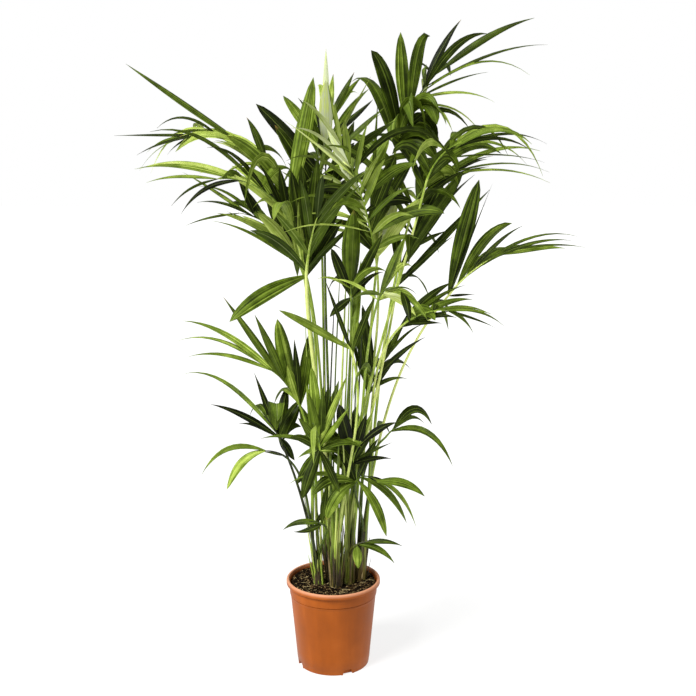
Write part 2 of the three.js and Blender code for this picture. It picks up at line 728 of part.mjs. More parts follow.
// Ribs keep their own place, so that no leaflet of another frond crosses one
const ribs = new Map(FRONDS.map((frond) => [frond.name, makeRib(frond)]));
for (const frond of FRONDS) {
  const others = FRONDS.filter((other) => other !== frond).map((other) => ribs.get(other.name));
  const around = [...taken, ...others.map((solid) => ({ solid, box: solid.boundingBox() }))];
  const before = around.length;
  const solid = makeFrond(frond, around);
  taken.push(...around.slice(before));
  plant.add(toMesh(`frond_${frond.name}`, solid, LEAF, 0.45));
}

export default plant;
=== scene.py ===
import math
import random
from typing import NamedTuple

import bmesh
import bpy
import numpy as np
from mathutils import Matrix, Vector, noise


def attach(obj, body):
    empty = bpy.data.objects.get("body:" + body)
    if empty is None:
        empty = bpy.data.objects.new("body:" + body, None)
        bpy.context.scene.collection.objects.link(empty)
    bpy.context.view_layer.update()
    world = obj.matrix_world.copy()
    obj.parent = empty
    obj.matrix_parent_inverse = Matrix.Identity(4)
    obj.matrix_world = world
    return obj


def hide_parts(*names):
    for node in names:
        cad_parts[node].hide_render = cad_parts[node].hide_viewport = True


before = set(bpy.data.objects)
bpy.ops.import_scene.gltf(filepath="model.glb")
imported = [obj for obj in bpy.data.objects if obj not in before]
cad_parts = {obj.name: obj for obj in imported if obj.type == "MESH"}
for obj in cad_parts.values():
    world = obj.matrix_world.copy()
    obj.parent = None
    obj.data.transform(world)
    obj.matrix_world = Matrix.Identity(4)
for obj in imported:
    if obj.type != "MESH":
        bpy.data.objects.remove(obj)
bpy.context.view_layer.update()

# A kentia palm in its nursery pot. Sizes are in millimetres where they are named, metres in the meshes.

MM = 0.001
UP = Vector((0, 0, 1))

# Pot
POT_HEIGHT = 226
POT_FOOT_RADIUS = 91.5
POT_NECK_RADIUS = 110.5
POT_NECK_FOOT = 197
POT_BAND_FOOT = 188
POT_BEAD_FOOT = 180
POT_LIP_FOOT = 214
POT_LIP_RADIUS = 120
POT_LIP_INNER_RADIUS = 113.5
POT_LIP_ROUND = 4.2
POT_EDGE_ROUND = 1.6
POT_STEP = 1.4
POT_GROOVE = 1.0
POT_WALL = 2.4
POT_FLOOR = 3
POT_SPIN_STEPS = 128
NOTCH_TURNS = [-156, -66, 24, 114]
NOTCH = {"top": 9, "foot": 14, "height": 13, "depth": 9, "shell": 2.5}

# Soil
SOIL_TOP = 212
SOIL_RADIUS = 107.5
SOIL_SKIRT = 40
SOIL_GRID = 130
PLANTED = 4
CRUMBS = 1500
CRUMB_SIZES = (1.1, 1.4, 1.8, 2.3, 3.2)
CRUMB_REACH = 103
FIBRES = 46
FIBRE_REACH = 92


class Stem(NamedTuple):
    """A sheathed stem: its foot, its top, how brown it is, and its shoots: how many, how brown, how bright.

    Tip is the radius of its solid at the top, where its stalks stand. Shade darkens its stalks low down."""
    foot: tuple
    top: tuple
    husk: float
    shoots: tuple
    strips: int = 12
    radius: float = 10.4
    tip: float = 13
    tone: float = 0.08
    shade: float = 0


STEMS = [
    Stem((-36, -2), (-43, -4, 286), 0.12, (13, 0.08, 0.85), strips=5),
    Stem((-6, 22), (-12, 24, 276), 0.95, (13, 0.9, 0.1)),
    Stem((6, -22), (6, -26, 292), 0.8, (13, 0.55, 0.45)),
    Stem((40, 0), (38, -2, 282), 0.75, (12, 0.6, 0.5)),
    Stem((70, 18), (76, 16, 352), 0.85, (4, 0.8, 0.2), strips=5, radius=12.2, tip=13.5, tone=0.3, shade=0.4),
]
STEM_RINGS = 22
STEM_SIDES = 28
STEM_FLARE = 4
STEM_FLARE_HEIGHT = 26
SCARS = (0.3, 0.62, 0.97)
SCAR_WIDTH = 1.6
SHOOT_RINGS = 10
SPEAR_RINGS = 20

# Tall spears, the leaves still rolled up: their stem, where they end, how thick and how bright they are
SPEARS = [(2, (30, -34, 960), 3.0, 0.8), (2, (42, 8, 985), 2.6, 0.6), (3, (54, -34, 930), 2.9, 0.85),
          (3, (62, 24, 900), 2.4, 0.3), (1, (4, 24, 940), 2.6, 0.12), (1, (-20, -24, 760), 2.4, 0.75),
          (0, (-68, 10, 900), 2.2, 0.6), (3, (22, -58, 660), 3.0, 0.85), (2, (18, 40, 1010), 2.5, 0.4),
          (2, (34, 14, 1020), 3.0, 0.75), (3, (52, 34, 1000), 3.2, 0.4), (3, (74, -24, 905), 3.2, 0.12),
          (3, (60, -52, 800), 3.0, 0.7), (2, (16, -64, 700), 3.0, 0.5), (1, (-2, -46, 720), 2.8, 0.85)]

# Stalks
STALK_FOOT_RADIUS = 4.1
STALK_THROAT_RADIUS = 2.5
STALK_TAPER_POWER = 0.6
STALK_RING_MARGIN = 0.4
STALK_RISE = 0.4
STALK_UPRIGHT = 0.6
STALK_BEND = 0.3
STALK_CLEARANCE = 0.6
STALK_STEPS = 7
STALK_RINGS = 28
SHEATH_RINGS = 6
SHEATH_RADIUS = 4.9
SHEATH_TAPER = 0.8
SHEATH_SPREAD = 1.25
BROWN_FADES_OVER = (90, 170)
SHADE_TOP = 600
SHADE_FADES_OVER = 180
STALK_SIDES = 10
RIB_STEPS = 5
RIB_RINGS = 14
RIB_TAPER = 0.75
RIB_DARKER = 0.3
RIB_DARK_FROM = 50
BOW_STEP = 5
BOW_TRIES = 9
BOW_WAYS = 8
GAP = 0.3

# Leaflets
RIB_FINE_STEPS = 24
ROW_START = {1: 0.55, -1: 0.3}
LAST_LEAF_AT = 0.985
LEAF_LIFT = 12
LEAF_STEPS = 12
LEAF_WIDEST_AT = 0.54
LEAF_FOOT_SHARE = 0.19
LEAF_TIP_POWER = 0.6
SLIM_FROM = 28
SLIM_SPAN = 14
SLIM_WIDEST_SOONER = 0.18
SLIM_TIP_POWER = 0.6
LEAF_THICKNESS = 0.9
LEAF_RIDGE = 0.35
DROOP_POWER = 1.6
FOLDED_WIDER = 1.25
SWING = 0.5
SHORTEST_TURNED = 60
DRY_TIPS = 0.12
DEPTH = (-290, 350)

# One half of a folded blade: how far out each point is, and how far down, as shares of the half width
FOLD = [(1, 1), (0.5, 0.42)]


class Frond(NamedTuple):
    """A frond: its stem, the foot, azimuth and pitches of its rib, and the rib's length.

    Tone and stalk say how bright its leaflets and its stalk are, from 0 to 1. So many leaflets are turned to
    the back and the front by the seed. Each of its leaves is told by its place along the rib, azimuth, pitch,
    length, width, droop and tone, and a row by its count, spread, length, width and droop. A size of a row is
    one number, or one each for the throat, the middle and the tip. Roll turns the rows about the rib."""
    name: str
    stem: int
    throat: tuple
    azimuth: float
    pitch: tuple
    rib: float
    # A leaflet's tone is partly its own green and partly painted shade deep in the crown and painted glow
    # where light shines through the blade
    tone: float
    stalk: float
    turned: int
    leaves: list
    roll: float = 0
    stout: float = 1.1
    left: tuple = ()
    right: tuple = ()


class Lone(NamedTuple):
    """A leaflet that is told by itself but keeps to its side of the rib, as those of a row do."""
    at: float
    side: int
    spread: float
    length: float
    width: float
    droop: float
    lift: float


FRONDS = [
    # upper right
    Frond("01", 4, (154, 30, 1309), 22, (76, 38), 235, 0.3, 0.7, 5, leaves=[
        (0, 180, 76, 245, 29, 1.2, 0.24), (0.14, 180, 76, 222, 28, 0.8, 0.18),
        (0.3, 180, 87, 210, 29, 0, 0.32), (0.42, 4, 85, 196, 24, 1.1, 0.26),
        (0.66, 8, 66, 196, 15, 0.45, 0.14), (0.72, 8, 58, 196, 16, 0.95, 0.22),
        (0.9, 4, 38, 262, 14, 0.45, 0.28), (0.7, 0, 30, 300, 9, 0.55, 0.22),
        (0.6, 0, 38, 285, 5, 1.24, 0.45), (0.55, 0, 28, 190, 5, 0.35, 0.3),
        (0.55, 0, 16, 195, 9, 0.85, 0.55), (0.45, 0, 12, 225, 6, 1.85, 0.62),
        (0.5, 0, 5, 130, 8, 2.8, 0.55), (0.1, 0, 50, 215, 13, 1.9, 0.3), (0.1, -62, 66, 190, 34, 2.4, 0.4),
        (0.25, -50, 58, 170, 32, 2.5, 0.34), (0.3, -85, 50, 160, 32, 2.6, 0.26),
        (0.05, -100, 60, 150, 30, 2.4, 0.5), (0.35, -40, 40, 140, 24, 2.4, 0.44),
        (0.04, -20, 24, 118, 30, 2.3, 0.36), (0.14, -10, 34, 120, 30, 2.8, 0.46),
        (0.24, -20, 36, 120, 28, 3.4, 0.3), (0.02, -10, 14, 96, 28, 1.2, 0.3),
        (0.1, -30, 42, 130, 32, 3.2, 0.56), (0.06, 0, 50, 126, 26, 2.6, 0.34)]),
    Frond("02", 2, (218, -70, 1220), -38, (74, 18), 145, 0.38, 0.85, 4, leaves=[
        (0.5, 0, 42, 232, 13, 1.41, 0.36), (0.4, 0, 48, 345, 9, 2.4, 0.56), (0.7, 0, 24, 200, 8, 1.1, 0.14),
        (0.75, 0, 22, 255, 8, 0.85, 0.16), (0.1, 0, 48, 222, 19, 1.27, 0.3),
        (0.5, 0, 8, 265, 5, 0.44, 0.35), (0.2, 0, 62, 260, 10, 1.95, 0.3), (0.9, 5, 12, 190, 7, 1.3, 0.6),
        (0.15, 180, 80, 112, 28, 2, 0.36), (0, 180, 66, 232, 21, 1.4, 0.24),
        (0.25, 180, 62, 130, 20, 1.6, 0.3), (0.2, -40, 60, 120, 22, 2.2, 0.28)]),
    Frond("03", 4, (192, 0, 1157), 30, (72, 22), 122, 0.4, 0.75, 4, leaves=[
        (0.1, 180, 64, 325, 21, 1.35, 0.3), (0, 180, 58, 215, 17, 0.95, 0.32),
        (0.5, 180, 76, 100, 17, 1, 0.35), (0.5, 0, 38, 305, 11, 0.87, 0.52),
        (0.2, 0, 42, 215, 13, 0.6, 0.1), (0.3, 0, 34, 190, 12, 0.5, 0.42), (0, 0, 48, 170, 12, 0.5, 0.16),
        (0.85, 0, 20, 285, 5, 0.75, 0.35), (0.9, 0, 14, 262, 5, 0.75, 0.5), (0.7, 0, 30, 180, 7, 0.4, 0.12),
        (0.3, 20, 74, 130, 30, 0.9, 0.3), (0.6, -30, 56, 120, 28, 2.2, 0.42)]),
    Frond("04", 3, (154, -20, 970), 40, (80, 50), 150, 0.24, 0.85, 4, roll=35, stout=1.15,
          left=(2, (25, 15, 5), (180, 220, 240), 22, 0.3),
          right=(4, (34, 20, 6), (190, 260, 270), 21, 0.3), leaves=[
        (0.98, 180, 62, 350, 14, 1, 0.45), (0.95, 180, 48, 255, 13, 0.75, 0.3),
        (0.4, 10, 58, 270, 28, 0.1, 0.22), (0.05, 0, 45, 330, 15, 0.02, 0.2),
        (0.7, 0, 24, 110, 11, 0.1, 0.3), (0.9, 20, 62, 190, 22, 0.2, 0.28)]),
    Frond("05", 4, (282, -10, 954), -16, (54, 22), 190, 0.36, 0.95, 0, leaves=[
        (0.02, 0, 78.5, 284, 35, 0, 0.2), (0.02, 0, 72, 282, 7, 0, 0.08), (0.4, 0, 52, 174, 10, 0.54, 0.12),
        (0.2, 0, 62, 204, 24, 0.8, 0.36), (0.35, 0, 50, 146, 20, 1, 0.48), (0.3, 0, 42, 293, 7, 0.87, 0.35),
        (0.85, 0, 14, 158, 13, 0.38, 0.5), (0.5, 0, 35, 192, 5, 0.57, 0.4), (0.5, 0, 40, 130, 12, 0.6, 0.3),
        (0.98, 0, 12, 176, 5, 0.4, 0.3), (0.98, 0, 6, 120, 8, 0.2, 0.36), (0.7, 0, 30, 190, 8, 0.6, 0.28),
        (0, 0, 6, 66, 6, 0.15, 0.1)]),
    Frond("06", 4, (162, -80, 888), -32, (42, 0), 142, 0.42, 0.75, 2, leaves=[
        (0, 0, 48, 165, 17, 0.5, 0.2), (0.2, 0, 38, 165, 10, 0.5, 0.25), (0, 0, 22, 125, 13, 0.2, 0.22),
        (0.9, 0, 5, 150, 6, 0.98, 0.35), (0.85, 0, 6, 112, 7, 0.35, 0.4), (0.8, 0, 6, 92, 5, 0.1, 0.3),
        (0.95, 0, -12, 92, 14, 2.2, 0.5), (0.95, 0, -15, 122, 6, 0.25, 0.3),
        (0.7, 0, 10, 150, 8, 0.8, 0.45), (0.5, 0, 25, 130, 12, 0.6, 0.4), (0.3, 0, 14, 100, 12, 0.5, 0.16),
        (0.1, 10, 6, 90, 10, 0.2, 0.14), (0.4, 60, 30, 90, 16, 1.6, 0.2), (0.15, -30, 50, 95, 24, 1.8, 0.4)]),
    Frond("07", 3, (108, -120, 958), -65, (50, -20), 130, 0.5, 0.65, 1,
          left=(2, (60, 35, 15), (100, 120, 110), 19.8, 1.2),
          right=(2, (60, 35, 15), (100, 110, 100), 19.8, 1.4), leaves=[
        (0, 180, 40, 122, 8, 0.7, 0.62), (0.1, 20, 68, 150, 18, 0.3, 0.36), (0, 0, 35, 110, 22, 1.8, 0.6),
        (0.2, 0, -10, 100, 16, 1.5, 0.8)]),
    # low right
    Frond("08", 4, (133, 20, 591), 28, (46, 22), 50, 0.3, 0.4, 1, leaves=[
        (0.6, 0, 56, 150, 18, 2.4, 0.3), (0.4, -8, 26, 185, 14, 2.5, 0.34), (0.5, 0, 44, 110, 12, 1.9, 0.4)]),
    Frond("10", 4, (57, -60, 498), -55, (50, -20), 95, 0.42, 0.5, 0, leaves=[
        (1, 0, 8, 126, 18, 1.2, 0.36), (0.1, 0, -42, 152, 20, 2.6, 0.42), (0.3, 0, -20, 172, 17, 2.2, 0.36),
        (0.8, 0, -22, 176, 9, 2.6, 0.42), (0.6, 0, -14, 66, 10, 0.4, 0.08), (0, 185, 30, 128, 24, 2, 0.38),
        (0, 200, -12, 118, 25, 3, 0.38), (0, 180, 27, 172, 10, 1.05, 0.33),
        (0, 150, 66, 130, 20, 0.5, 0.16), (0.1, 20, 64, 110, 16, 0.5, 0.16),
        (0, 170, 50, 130, 16, 0.9, 0.3), (0, 178, 8, 105, 15, 1.6, 0.4)]),
    Frond("11", 3, (58, -50, 331), -15, (35, 0), 45, 0.4, 0.2, 0, leaves=[
        (0.5, 0, 14, 96, 12, 0.6, 0.3), (0.1, 0, 0, 104, 14, 1.3, 0.3), (0, -70, -72, 66, 19, 0.9, 0.42)]),
    # upper left
    Frond("12", 1, (-101, -20, 1174), 168, (76, -12), 335, 0.45, 0.7, 2, roll=-30,
          left=(2, (50, 35, 12), (170, 170, 150), 9, 1.1),
          right=(2, (50, 35, 12), (160, 160, 150), 9, 0.8), leaves=[
        Lone(0.47, -1, -1, 380, 20, 0.03, 30), (0.8, 180, 1, 245, 6, 0.04, 0.15),
        (0.42, 180, 38, 235, 20, 1.55, 0.6), (0.72, 180, 26, 245, 13, 2.7, 0.88),
        (0.75, 180, 40, 166, 7, 1.41, 0.14), (0.9, 180, -10, 98, 9, 1, 0.15),
        (0.9, 180, -8, 156, 6, 0.48, 0.22), (0.1, 180, 55, 190, 24, 0.6, 0.6),
        (0.05, 182, 60, 176, 24, 0.55, 0.56), (0.2, 178, 45, 190, 19, 0.6, 0.64),
        (0.3, 180, 36, 150, 12, 0.5, 0.54), (0.08, 230, 66, 265, 16, 3, 0.56),
        (0.02, 0, 79, 300, 33, 0.02, 0.38), (0.5, 180, 30, 170, 10, 0.9, 0.62),
        (0.66, 180, 22, 150, 8, 0.9, 0.3), (0.35, 150, 68, 120, 16, 0.5, 0.2),
        (0.22, 180, 50, 200, 21, 0.9, 0.62), (0.15, 180, 44, 225, 14, 0.7, 0.6)]),
    Frond("13", 1, (-92, -60, 1117), 214, (68, -6), 250, 0.45, 0.6, 2, roll=-38,
          left=(2, (50, 30, 10), (150, 160, 160), 9, 0.8), leaves=[
        (0.6, 180, 24, 284, 11, 0.72, 0.78), (0.5, 180, 50, 292, 11, 0.97, 0.34),
        (0.45, 180, 58, 180, 9, 0.94, 0.14), (0.8, 180, 18, 236, 9, 0.55, 0.5),
        (0.75, 180, -2, 164, 9, 1.56, 0.06), (0.98, 180, 8, 170, 8, 0.5, 0.5),
        (0.15, 186, 44, 260, 15, 0.9, 0.64), (0.05, 180, 52, 250, 18, 1.1, 0.64),
        (0, 180, 66, 200, 20, 0.9, 0.46), (0.1, 120, 75, 130, 18, 0.3, 0.1),
        (0.3, 180, 60, 120, 12, 0.8, 0.1), (0.2, 190, 70, 130, 14, 0.5, 0.12),
        (0, -110, 62, 170, 22, 1.9, 0.5), (0, 180, 58, 215, 20, 0.7, 0.58),
        (0.1, 180, 48, 235, 16, 0.8, 0.6)]),
    Frond("14", 0, (-81, 30, 1026), 148, (62, 4), 235, 0.3, 0.5, 2, leaves=[
        (0.8, 180, 35, 212, 12, 0.19, 0.56), (0.7, 180, 45, 182, 7, 0.8, 0.3),
        (0.75, 180, 30, 156, 7, 0.68, 0.12), (0.5, 180, 50, 150, 19, 1.07, 0.38),
        (0.98, 180, -5, 142, 6, 0.38, 0.3), (0.3, 180, 28, 168, 13, 0.15, 0.46),
        (0, 180, 60, 165, 24, 0.52, 0.7), (0.05, 180, 70, 130, 22, 0.53, 0.74),
        (0.1, 180, 45, 165, 17, 0.38, 0.68), (0.75, 180, 70, 130, 14, 0, 0.08),
        (0.4, 150, 74, 130, 20, 0.2, 0.06), (0.6, 170, 60, 120, 14, 0.4, 0.1),
        (0.2, 120, 78, 150, 22, 0.1, 0.06), (0, 180, 89, 200, 34, 0.75, 0.5),
        (0.2, 180, 38, 200, 13, 0.5, 0.6), (0, 180, 38, 240, 8, 0.5, 0.52)]),
    # top of the middle
    Frond("16", 1, (-28, 40, 1148), 100, (82, 58), 190, 0.28, 0.5, 5,
          left=(3, (40, 36, 30), (120, 140, 150), 28, 0.3),
          right=(4, (50, 30, -2), (130, 155, 195), 28, 0.3), leaves=[
        (0.55, 180, 50, 232, 28, 0.2, 0.1), (0.2, 180, 62, 210, 26, 0.3, 0.2),
        (0.1, 0, 70, 220, 28, 0.2, 0.15), (0, 200, 40, 170, 22, 0.8, 0.3), (0.3, 0, 48, 190, 22, 0.4, 0.25)]),
    Frond("17", 2, (-20, 90, 1145), 87, (82, 50), 255, 0.45, 0.35, 5,
          left=(5, (50, 28, 0), (150, 150, 200), 20, (0.3, 0.3, 0.1)),
          right=(6, (58, 46, 26), (170, 195, 200), 19, 0.35), leaves=[
        (0.6, 90, 81, 270, 16, 0.02, 0.98), (0.62, 90, 79, 180, 27, 0.02, 0.92),
        (0.5, 180, 75, 180, 15, 0.7, 0.3), (0.5, 180, 60, 140, 6, 0.1, 0.8),
        (0.45, 180, 40, 138, 6, 0.1, 0.8), (0.95, 0, 64, 155, 15, 0.05, 0.4),
        (0.55, 0, 61, 225, 10, 0.02, 0.72), (0.8, 0, 40, 150, 19, 0.05, 0.12),
        (0.2, 0, 55, 210, 26, 0.3, 0.2), (0.05, 180, 62, 220, 26, 0.3, 0.3),
        Lone(0.98, 1, 8, 215, 19, 0.9, 10), Lone(0.94, -1, 16, 205, 18, 1, 8)]),
    Frond("18", 3, (105, -20, 1047), -130, (76, 52), 300, 0.62, 0.7, 5,
          left=(8, (60, 35, 10), (160, 180, 130), 17.6, (0.8, 0.5, 0.3)),
          right=(8, (55, 35, 8), (190, 220, 160), 15.4, (1.2, 1, 0.8)), leaves=[
        (0.98, 150, 76, 150, 13, 0.1, 0.5), (0.98, 20, 42, 135, 15, 0.1, 0.25),
        (0.9, 10, 36, 140, 15, 0.1, 0.2), (0.25, 60, 84, 310, 9, 0.02, 0.3),
        (0.35, 205, 34, 215, 9, 1, 0.5), (0.3, 205, 18, 200, 7, 0.6, 0.6),
        (0.05, 150, 50, 120, 26, 0.6, 0.12), (0.1, 30, 50, 140, 26, 0.6, 0.14),
        (0.4, 0, 30, 120, 22, 0.9, 0.2), (0.5, 150, 30, 130, 22, 0.9, 0.16), (0, 0, 58, 180, 24, 0.3, 0.85),
        (0.03, 10, 74, 185, 36, 0.05, 0.95), (0.06, 0, 84, 190, 28, 0.05, 0.72),
        (0.3, 0, 70, 170, 28, 0.2, 0.24), (0.55, 0, 66, 150, 24, 0.3, 0.5), (0.2, 0, 40, 190, 26, 1, 0.3),
        (0.75, 0, 52, 330, 13, 2.3, 0.22), (0.65, 0, 42, 280, 13, 2, 0.3),
        (0.1, 150, 60, 220, 24, 0.5, 0.3), (0.5, 0, 50, 160, 20, 0.8, 0.4),
        (0.7, 180, 42, 205, 7, 0.2, 0.75), (0.3, 180, 67, 262, 20, 0.05, 0.95),
        (0.2, 20, 62, 210, 26, 0.3, 0.35), (0.25, 215, 28, 262, 7, 1.2, 0.72),
        (0.22, 213, 15, 262, 4, 0.66, 0.68)]),
    Frond("19", 1, (-62, -60, 1008), -70, (76, 42), 170, 0.2, 1, 1, stout=1.6,
          left=(6, (35, 30, 10), (190, 190, 200), 24, 0.4),
          right=(4, (42, 26, 10), (170, 180, 190), 24, 0.5), leaves=[
        (0, 184, -16, 200, 30, 0.72, 0.35), (0, 60, 78, 285, 26, 0.05, 0.12),
        (0, 20, 68, 250, 30, 0.2, 0.16), (0, 90, 80, 200, 28, 0.2, 0.1), (0.08, 40, 70, 230, 28, 0.1, 0.1),
        (0, 10, 58, 160, 22, 0.1, 0.2), (0.15, 120, 74, 230, 26, 0.1, 0.1),
        (0.4, 100, 70, 210, 28, 0.4, 0.25), (0, -110, 86, 215, 26, 0.05, 0.6)]),
    # middle
    Frond("21", 2, (45, -60, 955), -95, (78, 60), 50, 0.35, 0.5, 2, leaves=[
        (0.2, 0, 88, 200, 46, 0, 0.38), (0, 180, -35, 70, 17, 0.5, 0.1), (0.1, 160, 70, 130, 22, 0.3, 0.15),
        (0, 0, 66, 170, 20, 0.2, 0.2), (0.5, 0, 55, 110, 14, 1.2, 0.5), (0.5, 180, 40, 90, 8, 0.9, 0.6),
        (0, 30, 50, 110, 12, 0.8, 0.2)]),
    Frond("22", 2, (47, -100, 829), 190, (74, 26), 40, 0.5, 0.7, 1, leaves=[
        (0.3, 180, 38, 195, 26, 0.25, 0.45), (0, 170, 70, 190, 9, 0.05, 0.08),
        (0.1, 40, 82, 150, 14, 0.2, 0.5), (0, 10, 84, 215, 16, 0.1, 0.6), (0, 0, 70, 150, 14, 0.3, 0.3)]),
    Frond("29", 3, (87, -10, 707), 42, (66, 50), 90, 0.2, 0.4, 3, roll=30,
          left=(2, (30, 15, 5), (110, 150, 180), 14, 0.4),
          right=(2, (36, 20, 5), (110, 130, 170), 14, 0.6), leaves=[
        (0, 0, 52, 122, 10, 0.05, 0.1), (0.9, 0, 60, 110, 14, 0.3, 0.15), (0.4, 0, 52, 180, 13, 0.4, 0.1),
        (0.1, 180, 74, 170, 16, 0.3, 0.25), (0.3, 120, 80, 190, 18, 0.2, 0.15),
        (0, 170, 82, 220, 18, 0.05, 0.4), (0.5, 150, 80, 190, 20, 0.1, 0.1),
        (0.2, 180, 84, 200, 16, 0.05, 0.5)]),
    # middle left
    Frond("23", 0, (-82, -10, 679), 160, (64, 26), 150, 0.46, 0.5, 2, stout=1.3, leaves=[
        (0.6, 180, 41, 290, 13, 0.66, 0.5), (0.66, 182, 35, 290, 10, 0.94, 0.52),
        (0.72, 178, 26, 222, 10, 0.7, 0.48), (0.5, 180, 60, 260, 15, 0.05, 0.42),
        (0.42, 178, 70, 200, 17, 0, 0.46), (0.15, 180, 77, 200, 33, 0, 0.5), (0, 180, 86, 170, 15, 0, 0.12),
        (0, 10, 81, 186, 26, 0.02, 0.34), (0, 160, 74, 110, 20, 0.1, 0.48),
        (0.3, 150, 64, 150, 18, 0.3, 0.5), (0.1, 0, 66, 110, 16, 0.2, 0.3), (0, 0, -70, 125, 24, 0.1, 0.44),
        (0, 190, -60, 90, 20, 0.3, 0.14)]),
    Frond("24", 0, (-137, 20, 591), 200, (66, 48), 70, 0.12, 0.05, 1, leaves=[
        (0.15, 180, 46, 330, 10, 1.05, 0.4), (0, 180, 38, 192, 14, 0.42, 0.08),
        (0, 182, 36, 110, 10, 0.7, 0.08), (0.1, 180, 68, 162, 13, 0, 0.06),
        (0.3, -75, 80, 150, 34, 1.9, 0.36), (0, 20, 66, 120, 18, 0.5, 0.12),
        (0, 40, 80, 120, 22, 0.3, 0.16), (0, 10, -60, 80, 18, 0.2, 0.1), (0, -20, 50, 70, 18, 1.2, 0.2)]),
    Frond("25", 0, (-121, -30, 556), 206, (36, 8), 55, 0.42, 0.1, 0, leaves=[
        (1, 180, 18, 190, 12, 2.1, 0.45), (1, 180, -10, 148, 20, 3, 0.56), (0, 180, 10, 64, 5, 0.3, 0.1)]),
    Frond("26", 0, (-27, -60, 390), 200, (30, 0), 40, 0.3, 0.3, 1, leaves=[
        (0, 180, 14, 105, 15, 1.2, 0.25), (0, 185, -30, 76, 12, -0.6, 0.2), (0, 60, 76, 110, 15, 0.4, 0.35)]),
    # low middle
    Frond("27", 1, (-30, -100, 591), -110, (80, 40), 90, 0.45, 0.55, 3, leaves=[
        (0.2, 0, 68, 182, 14, 0, 0.5), (0.1, 0, 56, 128, 12, 0, 0.55), (0.4, 170, 84, 165, 22, 0.02, 0.42),
        (0.3, 180, 76, 128, 17, 0, 0.46), (0.1, 190, 60, 95, 17, 0.2, 0.38),
        (0.15, 180, 22, 145, 10, 0.65, 0.42), (0.1, 60, 74, 150, 15, 0.1, 0.12),
        (0, 60, 84, 160, 16, 0.05, 0.2), (0, 180, 80, 150, 20, 0.1, 0.34), (0, 30, 72, 165, 18, 0.1, 0.3),
        (0, 185, 48, 90, 17, 0.8, 0.3), (0.05, 185, -68, 120, 24, 0.3, 0.2),
        (0, 195, -50, 110, 20, 0.6, 0.14), (0, 0, -60, 110, 22, 0.5, 0.16), (0, 0, 30, 110, 15, 1.2, 0.4)]),
    Frond("15", 2, (48, -40, 538), -60, (75, 30), 90, 0.3, 0.6, 1, leaves=[
        (0, 184, 42, 168, 19, 1.1, 0.62), (0.9, 0, 44, 102, 15, 0.6, 0.06),
        (0.9, 180, 12, 108, 14, 0.6, 0.5), (0.2, 176, 77, 155, 32, 0.05, 0.05),
        (0, 60, 82, 130, 26, 0.1, 0.03), (0.1, 120, 70, 120, 24, 0.2, 0.06), (0, 20, 64, 110, 16, 0.5, 0.1),
        (0, 190, -60, 120, 18, 0.4, 0.25), (0.1, 180, 58, 170, 18, 0.3, 0.3),
        (0.2, 10, 76, 130, 18, 0.05, 0.12), (0.6, 10, 70, 110, 12, 0.2, 0.4),
        (0, 0, 22, 100, 12, 0.5, 0.08), (0.1, 0, 34, 112, 7, 0.1, 0.1), (0.3, 184, 20, 150, 16, 1.2, 0.34)]),
]


# Colours and materials

# Where most values of a noise lie
NOISE_SPAN = {"From Min": 0.3, "From Max": 0.7}


def linear(hex_colour):
    """sRGB hex to the linear values that shaders take."""
    values = [int(hex_colour[i:i + 2], 16) / 255 for i in (1, 3, 5)]
    return tuple(v / 12.92 if v <= 0.04045 else ((v + 0.055) / 1.055) ** 2.4 for v in values) + (1.0,)


def every(size):
    """The scale of a pattern whose real features are so many millimetres apart."""
    return 1 / (size * MM)


def add(tree, kind, settings=(), links=()):
    """A node with its settings (properties, socket values or ramp stops) and what feeds its sockets."""
    node = tree.nodes.new("ShaderNode" + kind)
    for key, value in dict(settings).items():
        if key == "stops":
            ramp = node.color_ramp.elements
            while len(ramp) < len(value):
                ramp.new(0.5)
            for stop, (place, colour) in zip(ramp, value):
                stop.position = place
                stop.color = linear(colour)
        elif isinstance(key, str) and hasattr(node, key):
            setattr(node, key, value)
        else:
            node.inputs[key].default_value = value
    for key, source in dict(links).items():
        socket = source.outputs[0] if isinstance(source, bpy.types.Node) else source
        tree.links.new(socket, node.inputs[key])
    return node


def new_material(name):
    """A material, its empty tree, and the place of each point on the piece."""
    material = bpy.data.materials.new(name)
    material.use_nodes = True
    tree = material.node_tree
    tree.nodes.clear()
    return material, tree, add(tree, "TexCoord").outputs["Object"]


def finish_material(tree, settings, links, height=None, relief=0.0, depth=1):
    """The surface shader, with a bump where a height is given."""
    if height is not None:
        bump = add(tree, "Bump", {"Strength": relief, "Distance": depth * MM}, {"Height": height})
        links = dict(links, Normal=bump)
    shader = add(tree, "BsdfPrincipled", settings, links)
    add(tree, "OutputMaterial", links={"Surface": shader})


